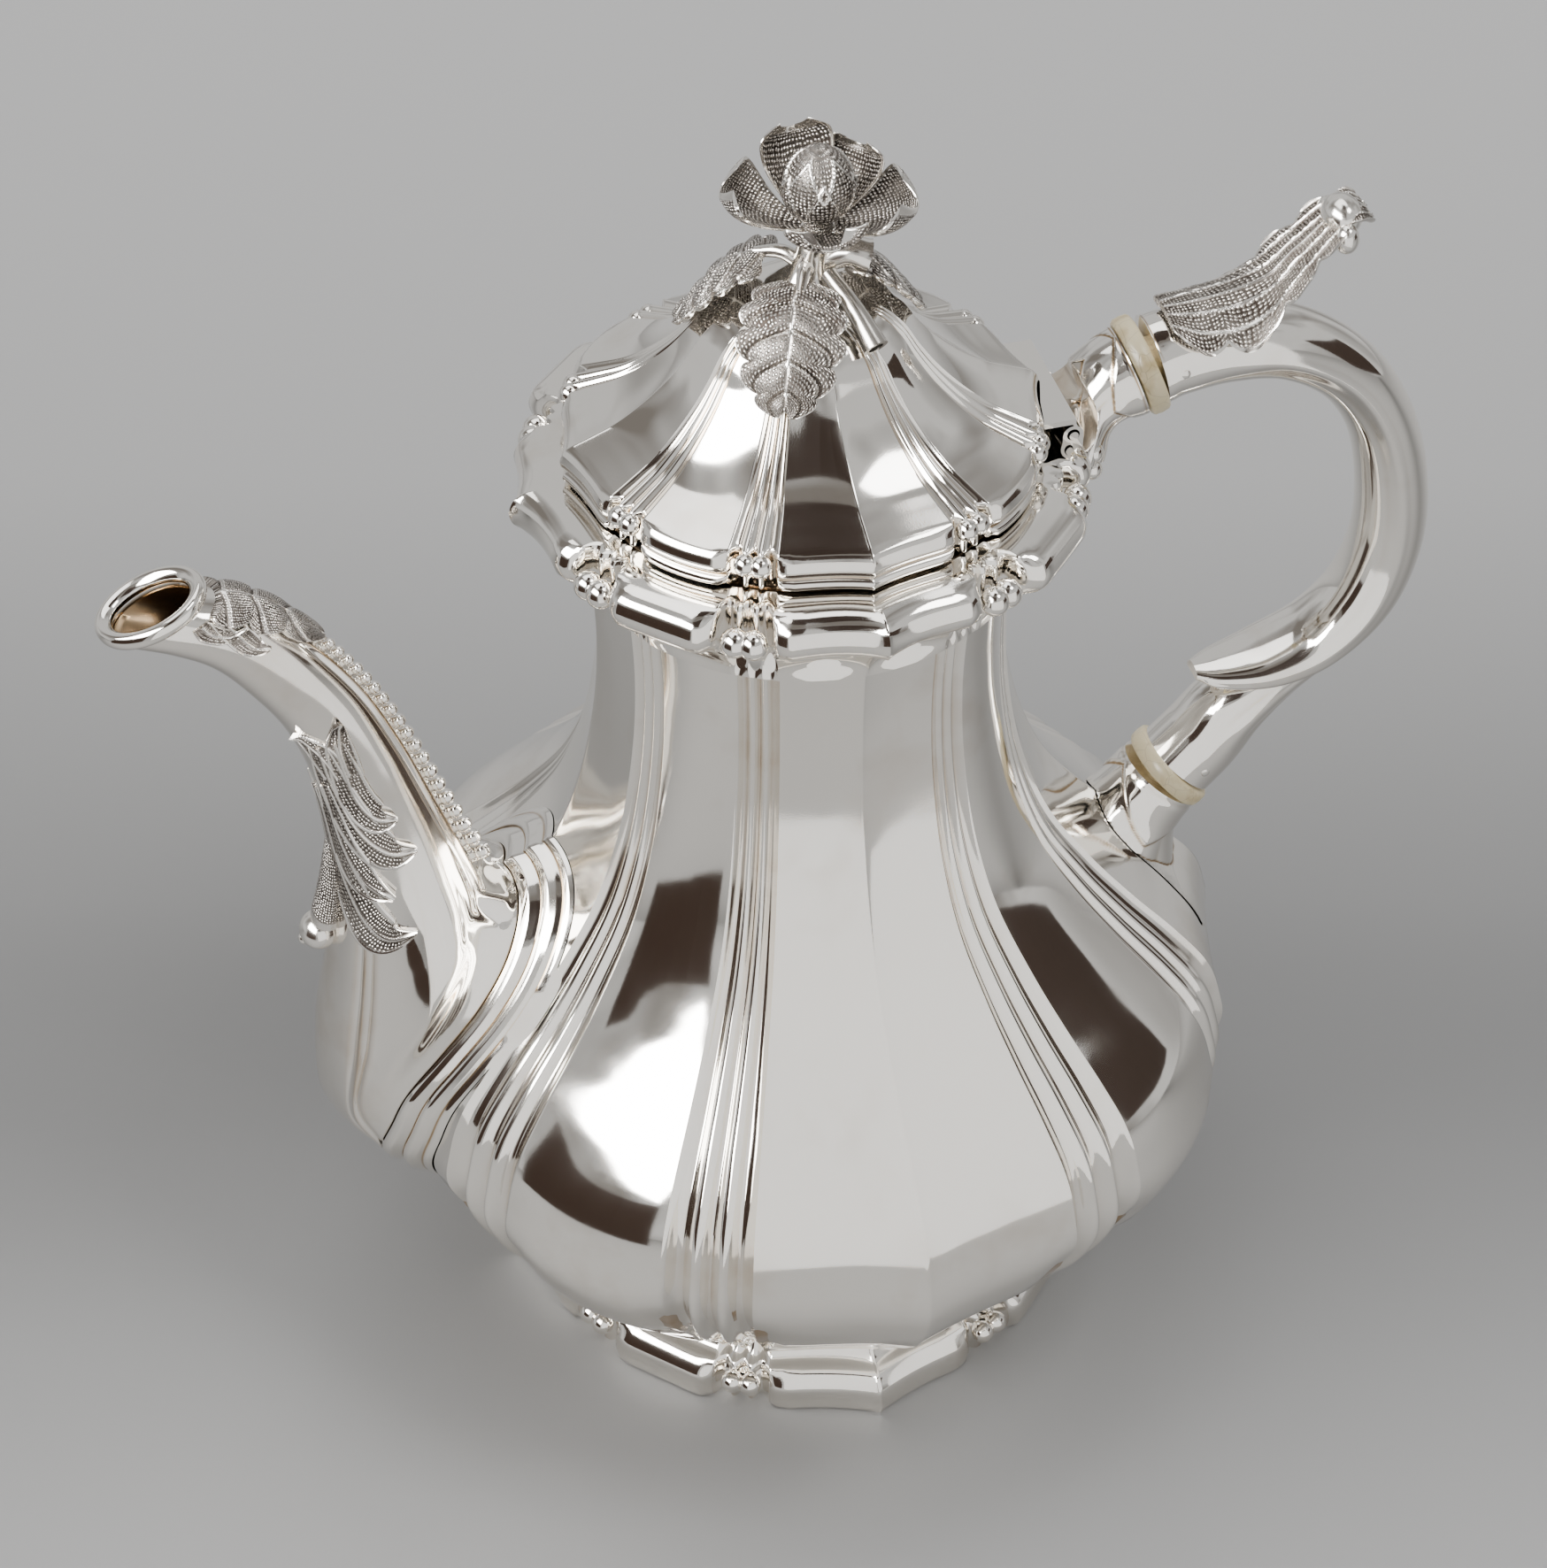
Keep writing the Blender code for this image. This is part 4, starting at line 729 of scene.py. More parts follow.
def branch_relief(turn, along):
    """Two grooves with a ridge between them down each side: three bells that fade out towards the tip."""
    t = from_top(turn)
    lines = -0.5 * bell(t, 70, 9) - 0.4 * bell(t, 118, 9) + 0.3 * bell(t, 95, 10)
    return lines * step_up(along, 0.15, 0.5) * (1 - along)


def branch_shells():
    """The lower branch: ovals on a cubic through its middle line, with a ball at the tip."""
    tube = skin(swept(spline(BRANCH, 70), 96, branch_relief), depth=0.8)
    return [tube, ball((104.6, 0.0, 126.4), 2.7, 24, 16)]


def socket_relief(depth, tongue):
    """Eight flutes that deepen towards the socket's base, with ridges as the absolute value of a cosine, under its
    tongues."""

    def relief(turn, along):
        """Millimetres proud of the oval, at a turn round the socket and a way along it."""
        fluting = (np.abs(np.cos(turn * 4)) - 0.6) * depth * (1 - step_up(along, 0.0, 0.85))
        return fluting + tongue * tongue_relief(turn, along)

    return relief


def tongue_relief(turn, along):
    """A raised petal over the socket's top end on each side, with a pointed lower edge."""
    t = from_top(turn)
    reach = 0.62 + 0.16 * np.abs(t - 90) / 45
    return 0.45 * step_up(along, reach, reach + 0.03) * (1 - step_up(along, 0.93, 0.98) * 0.5)


def lower_socket_shells():
    """The lower socket: swept ovals, with x kept at least a quarter millimetre outside the belly."""
    rings = swept(spline(LOWER_SOCKET, 90), 144, socket_relief(1.6, 1.0))
    rings[..., 0] = np.maximum(rings[..., 0], belly_x(rings[..., 1], rings[..., 2]) + 0.25)
    return [skin(rings, depth=0.8)]


def upper_socket_shells():
    """The upper socket: swept ovals kept outside the collar, and pushed straight out of a cylinder round the hinge
    where its plate turns."""
    room, half_width = 6.0, 13.2
    rings = swept(spline(UPPER_SOCKET, 80), 144, socket_relief(1.0, 0.6))
    rings[..., 0] = np.maximum(rings[..., 0], collar_x(rings[..., 1], np.minimum(rings[..., 2], 198.0)) - 1.0)
    reach = np.hypot(rings[..., 0] - HINGE_X, rings[..., 2] - HINGE_Z)
    inside = (np.abs(rings[..., 1]) < half_width) & (reach < room)
    push = np.where(inside, room / np.maximum(reach, 1e-3), 1.0)
    rings[..., 0] = HINGE_X + (rings[..., 0] - HINGE_X) * push
    rings[..., 2] = HINGE_Z + (rings[..., 2] - HINGE_Z) * push
    balls = [ball((50.8, side * 10.0, z), 2.1, 18, 12) for side in (-1, 1) for z in (196.2, 192.6)]
    return [skin(rings, depth=0.8)] + balls


def ring_path(place, heading, profile):
    """A turned piece on a sloping axis in the plane y = 0: profile rows are (way along, radius)."""
    d = np.array(heading) / np.hypot(*heading)
    turn = circle(72)[None]
    o, r = np.asarray(profile, float)[:, :1], np.asarray(profile, float)[:, 1:]
    x = place[0] + d[0] * o - d[1] * r * np.cos(turn)
    z = place[1] + d[1] * o + d[0] * r * np.cos(turn)
    return np.stack([x, r * np.sin(turn), z], 2)


def insulator_shells(place, heading):
    """A disc with softened edges on a tenon that runs into the silver at both ends."""
    tenon, tenon_end = 4.2, 9.4
    half = [(-tenon_end, tenon), (-RING_HALF, tenon), (-RING_HALF, RING_R - 1.1), (-RING_HALF + 0.2, RING_R - 0.5),
            (-RING_HALF + 0.6, RING_R - 0.1)]  # fmt: skip
    steps = [*half, (0.0, RING_R + 0.05), *((-way, radius) for way, radius in half[::-1])]
    return [skin(ring_path(place, heading, steps), shade_and_tarnish_mask=0.0)]


def pin_shells(place, heading, side, half):
    """A drawn pin across the handle, with low domed heads: (y, radius) carried round the pin's own axis."""
    x, z = np.array(place) + np.array(heading) / np.hypot(*heading) * side * PIN_OFFSET
    head = [(-half - 0.25, 0.35), (-half - 0.15, 0.8), (-half + 0.05, 1.05), (-half + 0.3, 0.85)]
    rows = np.array(head + [(-y, r) for y, r in head[::-1]])
    turn = circle(24)[None]
    y, r = rows[:, :1], rows[:, 1:]
    return [skin(np.stack([x + r * np.cos(turn), y + 0 * turn, z + r * np.sin(turn)], 2), shade_and_tarnish_mask=0.0)]


def thumb_leaf_shells():
    """Acanthus along the top of the handle: it hugs the tube, then stands up and rolls over at its tip."""
    rows = spline(THUMB_LEAF, 120)
    along = unit(np.gradient(rows[:, :2], axis=0))
    u, v = leaf_grid(120, 61)
    x, z, away, half = (rows[:, k : k + 1] for k in range(4))
    cut = scallops(u, 5, 0.42)
    half = half * cut * (1 - 0.5 * step_up(u, 0.97, 1.0))
    bend = v * half / away
    out = away * np.cos(bend)
    base = np.stack([x - along[:, 1:] * out, away * np.sin(bend), z + along[:, :1] * out], 2)
    normal = face_normal(base)
    lines = np.abs((3.0 * np.abs(v * cut) ** 0.85 + 0.5) % 1.0 - 0.5)
    ridge = bell(lines, 0, 0.09)
    lift = 0.5 + 0.55 * ridge + 0.4 * v**2
    low = base + normal * (lift - 1.1 * np.sqrt(1.02 - np.abs(v) ** 8))[..., None]
    polish = np.clip(0.7 * ridge + step_up(np.abs(v), 0.9, 0.98) + step_up(u, 0.88, 0.95), 0, 1)
    leaf = leaf_skin(base + normal * lift[..., None], low, np.stack([u * 44.0, v * 10.0, polish], 2))
    curls = [ball((97.8, side * 4.4, 229.2), 2.5, 24, 16, (0.9, 1.0, 1.15)) for side in (-1, 1)]
    return [leaf, ball((98.4, 0.0, 231.4), 3.6, 28, 18, (1, 1.25, 1)), *curls]


# ---- finial ----
def petal_shells(azimuth, length, rise, spread):
    """A spoon in polar form about the flower's middle: reach follows a sine, height a power, and the sides cup up."""
    t, v = leaf_grid(60, 51)
    u = 1 - (1 - t) ** 1.5
    reach = 3.0 + (length - 3.0) * np.sin(u * np.pi / 2) * (1 - 0.10 * v**2 * u**2)
    taper = np.sqrt(np.clip(1 - np.clip((u - 0.35) / 0.66, 0, 1) ** 2.6, 0.0, 1))
    half = spread * (0.80 + 0.34 * u - 0.10 * u**2) * taper + 6.0 * u**2
    reach = reach - 0.9 * v**2 * step_up(u, 0.75, 1.0)
    angle = np.radians(azimuth + v * half)
    cup = 2.4 * v**2 * np.sin(np.pi * np.clip(u, 0, 1) * 0.6)
    height = FLOWER_Z + rise * u**1.5 + cup - 1.3 * step_up(u, 0.80, 1.0)
    base = polar(reach, angle, height, FLOWER_X)
    normal = face_normal(base)
    across = v * reach * np.radians(spread)
    thick = 0.45 * np.sqrt(1.03 - np.maximum(np.abs(v), u) ** 10)
    rim = step_up(np.maximum(np.abs(v), u), 0.90, 0.97)
    top = base + normal * (thick - 0.2 * bell(across, 0, 0.6) * (1 - u))[..., None]
    flow = np.stack([u * length, across, 0.7 * rim], 2)
    return [leaf_skin(top, base - normal * thick[..., None], flow)]


def bud_shells():
    """A closed bud turned from a profile, with two tiers of sepals whose edges rise to a point."""
    line = spline(BUD, 70)
    turn = circle(120)[None]
    r, z = line[:, :1], line[:, 1:]
    raised, edge = 0.0, 0.0
    for peak, phase, fall in SEPALS:
        t = np.abs((np.degrees(turn) - phase + 36) % 72 - 36) / 36
        border = peak - fall * t**1.2 * 1.6
        raised = raised + 0.34 * (1 - step_up(z, border - 0.15, border + 0.25))
        edge = edge + bell(z, border - 0.25, 0.45)
    radius = r + raised - 0.34 + 0.22 * np.clip(edge, 0, 1)
    rings = polar(radius, turn, z, FLOWER_X)
    flow = np.stack([z + 0 * turn, turn * 5.4 + 0 * z, np.clip(edge, 0, 1)], 2)
    return [skin(rings, chasing=flow, depth=0.5)]


def finial_leaf_shells(azimuth):
    """A toothed leaf that hangs from the stem over the dome: width follows a sine, and it arches across."""
    u, v = leaf_grid(110, 71)
    line = spline(LEAF_LINE, 110)
    half = LEAF_HALF * np.sin(np.pi * (0.17 + 0.815 * u)) ** 0.72 * scallops(u - LEAF_SWEEP, 5, 0.45)
    across = v * half
    reach, angle = np.hypot(line[:, :1], 0.7 * across), np.radians(azimuth) + np.arctan2(across, line[:, :1])
    height = line[:, 1:] - 1.3 * v**2
    base = polar(reach, angle, height)
    return [chased_plate(base, face_normal(base), u, v, 24.0, 9.0, 5, 0.3, 0.8)]


def free_tube(path, radii, count, sides):
    """A tube along any line: two directions square to it are kept from one fixed side direction."""
    line, r = spline(path, count), spline(np.asarray(radii, float)[:, None], count)
    along = unit(np.gradient(line, axis=0))
    side = unit(np.cross(along, (0.31, 0.19, 0.93)))
    up = np.cross(side, along)
    turn = circle(sides)[None, :, None]
    return line[:, None] + r[:, None] * (np.cos(turn) * side[:, None] + np.sin(turn) * up[:, None])


def stem_shells():
    """The stem: a turned profile with a five-fold cosine knot at its foot, leaning towards the flower, three twigs
    that carry the leaves, the collar of the cut twig and the tail inside the lid."""
    rows = spline(STEM, 60)
    turn = circle(72)[None]
    shift = np.interp(rows[:, 1], (233, 238, 245), (0.0, 0.8, FLOWER_X))[:, None]
    knots = 0.35 * np.cos(5 * turn) * (1 - step_up(rows[:, 1:], 236, 240))
    stem = polar(rows[:, :1] + knots, turn, rows[:, 1:], shift)
    spread = []
    for _, azimuth in FINIAL_LEAVES:
        c, s = math.cos(math.radians(azimuth)), math.sin(math.radians(azimuth))
        spread.append([(0.8 + r * c, r * s, z) for r, z in ((0.5, 238.6), (4.5, 240.6), (9.5, 239.6))])
    twigs = [skin(free_tube(path, (1.5, 1.3, 0.9), 20, 20), shade_and_tarnish_mask=0.1) for path in spread]
    crook = ((3.0, -1.0, 239.5), (7.2, -2.0, 241.6), (10.4, -2.8, 240.6))
    collar = skin(free_tube(crook, (1.7, 2.6, 3.2), 24, 32), shade_and_tarnish_mask=0.05)
    # Painted shade: the tail inside the lid is darkened evenly by the mask.
    tail = skin(turned(((1.9, 226.0), (1.9, 233.4)), 24), shade_and_tarnish_mask=0.6)
    return [skin(stem, depth=0.8), tail, collar, *twigs]


def stub_shells():
    """A cut twig with a hollow end: the tube turns back into itself."""
    path = [(3.2, -4.0, 239.2), (5.6, -10.4, 236.4), (7.8, -16.8, 232.0)]
    outer = free_tube(path, (1.5, 1.7, 2.3), 28, 32)
    middle = outer[-1].mean(0)
    rim = np.stack([middle + (outer[-1] - middle) * k for k in (0.82, 0.6)])
    deep = rim[1:] - (middle - outer[-6].mean(0))
    return [skin(np.concatenate([outer, rim, deep]), shade_and_tarnish_mask=0.2)]


# ---- metals and ivory ----
GRAIN_SPACING = 0.66  # millimetres between punch marks


def linear(code):
    """sRGB hex to linear RGBA: each channel divided by 12.92 near black, else a power of 2.4."""
    parts = np.array([int(code[i : i + 2], 16) for i in (1, 3, 5)]) / 255
    return (*np.where(parts <= 0.04045, parts / 12.92, ((parts + 0.055) / 1.055) ** 2.4), 1.0)


def wire(made, inputs):
    """Set a node's inputs by name or number to values, sockets or nodes, of which the first output counts."""
    for key, value in inputs.items():
        if isinstance(value, bpy.types.Node):
            value = value.outputs[0]
        if isinstance(value, bpy.types.NodeSocket):
            made.id_data.links.new(value, made.inputs[key])
        else:
            made.inputs[key].default_value = value


def node(tree, kind, inputs=None, stops=None, **settings):
    """Add a node with its settings by name, its inputs as wire() takes them and colour stops as (position, hex)."""
    made = tree.nodes.new("ShaderNode" + kind)
    for key, value in settings.items():
        setattr(made, key, value)
    wire(made, inputs or {})
    for i, (position, code) in enumerate(stops or ()):
        spots = made.color_ramp.elements
        spot = spots[i] if i < 2 else spots.new(position)
        spot.position, spot.color = position, linear(code)
    return made


def new_finish(name, colour, metallic, roughness):
    """A Principled material with base colour, metal and roughness set on the shader, its node tree and the shader."""
    mat = bpy.data.materials.new(name)
    mat.use_nodes = True
    mat.diffuse_color = linear(colour)
    shader = mat.node_tree.nodes["Principled BSDF"]
    wire(shader, {"Base Color": linear(colour), "Metallic": metallic, "Roughness": roughness})
    return mat, mat.node_tree, shader


def polished_silver(look):
    """Sterling silver, raised and hand polished: mirror bright, with the slow waviness that the hammer leaves
    (about 16 mm), hairlines from cloths (0.3 mm) and a warm tarnished film in patches and grooves; in the grooves and
    insides the darkening is also painted shade."""
    mat, tree, shader = new_finish("hand_polished_sterling_silver", look.silver, 1.0, look.polish)
    place = node(tree, "TexCoord").outputs["Object"]
    wave = node(tree, "TexNoise", {"Vector": place, "Scale": 62.0, "Detail": 1.0, "Roughness": 0.4})
    hair = node(tree, "TexNoise", {"Vector": place, "Scale": 3200.0, "Detail": 2.0})
    cloud = node(tree, "TexNoise", {"Vector": place, "Scale": 45.0, "Detail": 4.0, "Roughness": 0.6})
    # Painted shade: the mask of concave places and insides, in patches, darkens the silver towards the warm and the
    # darkest colours as shade would, along with a real warm film.
    shade_and_tarnish_mask = node(tree, "Attribute", attribute_name="shade_and_tarnish_mask").outputs["Fac"]
    patchy = node(tree, "MapRange", {0: cloud, 1: 0.35, 2: 0.6, 3: 0.35, 4: 0.9})
    shade_and_stain = node(tree, "Math", {0: shade_and_tarnish_mask, 1: patchy}, operation="MULTIPLY")
    film = node(tree, "MapRange", {0: cloud, 1: 0.56, 2: 0.72, 3: 0.0, 4: 0.08})
    shade_and_haze = node(tree, "Math", {0: shade_and_stain, 1: film}, operation="ADD", use_clamp=True)
    colour = node(tree, "ValToRGB", {0: shade_and_haze}, ((0.0, look.silver), (1.0, look.dark_deposit_and_shade), (0.40, look.tarnish_and_shade)))
    rubbed = node(tree, "MapRange", {0: cloud, 1: 0.3, 2: 0.7, 3: look.polish, 4: look.polish + 0.05})
    dulled = node(tree, "Math", {0: shade_and_haze, 1: 0.3, 2: rubbed}, operation="MULTIPLY_ADD")
    slow = node(tree, "Bump", {"Height": wave, "Strength": 1.0, "Distance": look.waviness})
    fine = node(tree, "Bump", {"Height": hair, "Strength": 0.10, "Distance": 0.00002, "Normal": slow})
    wire(shader, {"Base Color": colour, "Roughness": dulled, "Normal": fine})
    return mat


def chased_silver(look):
    """Cast and chased silver: rows of punched grains between polished veins, with dark silver sulphide left in the
    hollows between the grains and rubbed away from the high edges, and painted shade that darkens concave places and
    insides in the same colours."""
    mat, tree, shader = new_finish("chased_silver_with_dark_patina_and_painted_shade", look.silver, 1.0, 0.25)
    place = node(tree, "TexCoord").outputs["Object"]
    flow = node(tree, "Attribute", attribute_name="chasing").outputs["Vector"]
    parts = node(tree, "SeparateXYZ", {0: flow})
    shade_and_tarnish_mask = node(tree, "Attribute", attribute_name="shade_and_tarnish_mask").outputs["Fac"]
    rows = node(tree, "CombineXYZ", {0: parts.outputs[0], 1: parts.outputs[1]})
    spacing = {"Vector": rows, "Scale": 1.0 / GRAIN_SPACING, "Randomness": 0.30}
    grains = node(tree, "TexVoronoi", spacing, voronoi_dimensions="2D")
    dome = node(tree, "MapRange", {0: grains, 1: 0.14, 2: 0.46, 3: 1.0, 4: 0.0})
    gap = node(tree, "MapRange", {0: grains, 1: 0.20, 2: 0.50, 3: 0.0, 4: 1.0})
    field = node(tree, "MapRange", {0: parts.outputs[2], 1: 0.15, 2: 0.55, 3: 1.0, 4: 0.0})
    cloud = node(tree, "TexNoise", {"Vector": place, "Scale": 160.0, "Detail": 3.0})
    gaps = node(tree, "Math", {0: gap, 1: field}, operation="MULTIPLY")
    # Painted shade: the mask of concave places and insides joins the real sulphide between the grains, as the larger
    # of the two.
    patina_and_shade = node(tree, "Math", {0: gaps, 1: shade_and_tarnish_mask}, operation="MAXIMUM")
    patchy = node(tree, "MapRange", {0: cloud, 1: 0.3, 2: 0.65, 3: 0.55, 4: 1.0})
    dark = node(tree, "Math", {0: patina_and_shade, 1: patchy}, operation="MULTIPLY", use_clamp=True)
    veil_and_shade = node(tree, "Math", {0: field, 1: 0.07, 2: dark}, operation="MULTIPLY_ADD", use_clamp=True)
    colour = node(tree, "ValToRGB", {0: veil_and_shade}, ((0.0, look.silver), (1.0, look.dark_deposit_and_shade), (0.35, look.patina)))
    rough = node(tree, "MapRange", {0: veil_and_shade, 1: 0.0, 2: 1.0, 3: 0.16, 4: 0.5})
    height = node(tree, "Math", {0: dome, 1: field}, operation="MULTIPLY")
    bump = node(tree, "Bump", {"Height": height, "Strength": 1.0, "Distance": 0.0002})
    wire(shader, {"Base Color": colour, "Roughness": rough, "Normal": bump})
    return mat


def old_ivory(look):
    """Turned ivory: creamy and softly glossy, yellower in patches, with fine dark age cracks along the grain."""
    mat, tree, shader = new_finish("turned_ivory_with_age_cracks", look.ivory, 0.0, 0.3)
    place = node(tree, "TexCoord").outputs["Object"]
    cloud = node(tree, "TexNoise", {"Vector": place, "Scale": 210.0, "Detail": 3.0})
    spacing = {"Vector": place, "Scale": 260.0, "Randomness": 1.0}
    cracks = node(tree, "TexVoronoi", spacing, feature="DISTANCE_TO_EDGE")
    line = node(tree, "MapRange", {0: cracks, 1: 0.0, 2: 0.02, 3: 0.35, 4: 0.0})
    tint = node(tree, "ValToRGB", {0: cloud}, ((0.30, look.ivory_dark), (0.52, look.ivory)))
    tinted = node(tree, "MixRGB", {0: line, 1: tint, 2: linear(look.ivory_crack)})
    bump = node(tree, "Bump", {"Height": line, "Strength": 0.6, "Distance": 0.0001}, invert=True)
    wire(shader, {"Base Color": tinted, "Normal": bump, "Subsurface Weight": 0.12, "Subsurface Scale": 1.0,
                  "Subsurface Radius": (0.004, 0.003, 0.002)})  # fmt: skip
    return mat


def paper_sweep(look):
    """A matt paper backdrop with a trace of fibre: a painted shadow band darkens it at the pot, and painted light
    makes it lighter far back.
    """
    mat, tree, shader = new_finish("matt_grey_paper_with_painted_shadow_band", look.paper, 0.0, 0.9)
    place = node(tree, "TexCoord").outputs["Object"]
    away = (0.0, 0.0, math.radians(-74.2))  # the band lies square to the line of sight
    ramp = node(tree, "Mapping", {"Vector": place, "Location": (0.25, 0.0, 0.0), "Rotation": away})
    depth = node(tree, "TexGradient", {"Vector": ramp}, gradient_type="LINEAR")
    shade = look.painted_shadow_band
    # Painted shadow and light: the ramp darkens the paper in a band at the pot and lightens it far behind.
    stops = ((0.15, look.paper), (0.85, look.painted_far_light), (0.26, shade), (0.34, shade), (0.50, look.paper))
    tone = node(tree, "ValToRGB", {0: depth}, stops)
    tone.color_ramp.interpolation = "B_SPLINE"
    fibre = node(tree, "TexNoise", {"Vector": place, "Scale": 900.0, "Detail": 2.0})
    bump = node(tree, "Bump", {"Height": fibre, "Strength": 0.05, "Distance": 0.0002})
    wire(shader, {"Base Color": tone, "Normal": bump})
    return mat


def plain(name, colour, glow):
    """A card that only shows in reflections: a flat colour that neither shines nor takes light."""
    mat, _, shader = new_finish(name, colour, 0.0, 1.0)
    wire(shader, {"Emission Color": linear(colour), "Emission Strength": glow})
    return mat


# ---- studio ----
POT_MIDDLE = Vector((0.0, 0.0, 0.13))
CAMERA = Vector((-0.1401, -0.4771, 0.5807))
CAMERA_BACK = Vector((-0.19944, -0.70563, 0.67994))
CAMERA_RIGHT = Vector((0.96230, -0.27199, 0.0))
CAMERA_LENS, CAMERA_FILM = 81.26, 36.0


def facing(place, target=POT_MIDDLE):
    """A turn that points local -Z from a place to a target."""
    return (target - place).to_track_quat("-Z", "Y").to_euler()


def direction(azimuth, height):
    """A unit vector from degrees round from +X and degrees above the floor."""
    a, h = math.radians(azimuth), math.radians(height)
    return Vector((math.cos(a) * math.cos(h), math.sin(a) * math.cos(h), math.sin(h)))


def softbox(name, azimuth, height, distance, width, tall, watts, lit=True):
    """A rectangular lamp that faces the pot; one that isn't lit only shows in reflections."""
    lamp = bpy.data.lights.new(name, "AREA")
    lamp.shape, lamp.size, lamp.size_y, lamp.energy = "RECTANGLE", width, tall, watts
    obj = bpy.data.objects.new(name, lamp)
    obj.location = POT_MIDDLE + direction(azimuth, height) * distance
    obj.rotation_euler = facing(obj.location)
    obj.visible_diffuse = lit
    obj.visible_camera = False
    bpy.context.scene.collection.objects.link(obj)
    return obj


def card(name, azimuth, height, distance, width, tall, mat):
    """A dark or white card that the metal mirrors, bent as a parabola; the camera and the paper don't see it."""
    side = 5
    u, v = np.meshgrid(np.linspace(-0.5, 0.5, side), np.linspace(-0.5, 0.5, side))
    points = np.stack([u * width, v * tall, -0.15 * width * u**2 * 4], 2).reshape(-1, 3)
    place = POT_MIDDLE + direction(azimuth, height) * distance
    turn = np.array(facing(place).to_matrix())
    rows = np.arange(side * side).reshape(side, side)
    faces = np.stack([rows[:-1, :-1], rows[:-1, 1:], rows[1:, 1:], rows[1:, :-1]], -1).reshape(-1, 4)
    mesh = bpy.data.meshes.new(name)
    mesh.from_pydata(points @ turn.T + np.array(place), [], faces.tolist())
    mesh.materials.append(mat)
    obj = bpy.data.objects.new(name, mesh)
    obj.visible_camera = obj.visible_diffuse = obj.visible_shadow = False
    bpy.context.scene.collection.objects.link(obj)
    return obj


def light_tent(tree, look):
    """Light all round: white cloth with greyer folds, as a cloudy ramp of three tones."""
    way = node(tree, "TexCoord").outputs["Generated"]
    folds = node(tree, "TexNoise", {"Vector": way, "Scale": 1.3, "Detail": 2.0, "Distortion": 0.6})
    stops = ((0.32, look.tent_shade), (0.56, look.tent_white), (0.44, look.tent_grey))
    colour = node(tree, "ValToRGB", {0: folds}, stops)
    wire(tree.nodes["Background"], {"Color": colour, "Strength": look.tent})


def build_stage(look):
    """Paper floor, light tent, lamps, cards and the camera."""
    floor = bpy.data.meshes.new("paper_floor")
    floor.from_pydata([(-3, -3, 0), (3, -3, 0), (3, 3, 0), (-3, 3, 0)], [], [(0, 1, 2, 3)])
    floor.materials.append(paper_sweep(look))
    ground = bpy.data.objects.new("paper_floor", floor)
    bpy.context.scene.collection.objects.link(ground)
    world = bpy.data.worlds.new("light_tent")
    world.use_nodes = True
    light_tent(world.node_tree, look)
    bpy.context.scene.world = world
    # Azimuth, height, distance, width and length.
    softbox("overhead_softbox", 100, 72, 1.5, 1.2, 1.0, look.key)
    softbox("left_softbox", -158, 42, 0.80, 0.80, 0.40, look.left, lit=False)
    softbox("right_softbox", -38, 62, 1.1, 0.34, 0.28, look.right)
    room = plain("dark_room_opening", look.room, 0.35)
    white = plain("white_reflector", look.tent_white, look.reflector)
    card("left_opening", -153, 3, 0.50, 0.40, 0.28, room)
    card("right_opening", -19, 13, 0.70, 0.34, 0.24, room)
    card("camera_stand", -108, 54, 0.72, 0.30, 0.32, room)
    card("ceiling", -30, 87, 0.95, 0.34, 0.28, room)
    card("front_reflector", -84, 7, 0.31, 0.40, 0.33, white)
    view = bpy.data.cameras.new("view")
    view.sensor_fit, view.sensor_height, view.lens = "VERTICAL", CAMERA_FILM, CAMERA_LENS
    view.clip_start, view.clip_end = 0.01, 20.0
    camera = bpy.data.objects.new("view", view)
    up = CAMERA_BACK.cross(CAMERA_RIGHT)
    turn = Matrix((CAMERA_RIGHT, up, CAMERA_BACK)).transposed().to_4x4()
    camera.matrix_world = Matrix.Translation(CAMERA) @ turn
    bpy.context.scene.collection.objects.link(camera)
    bpy.context.scene.camera = camera


# ---- settings ----
def hex_colour(name, description, default):
    """A colour setting in sRGB hex."""
    return StringProperty(name=name, description=f"{description}, sRGB hex", default=default)


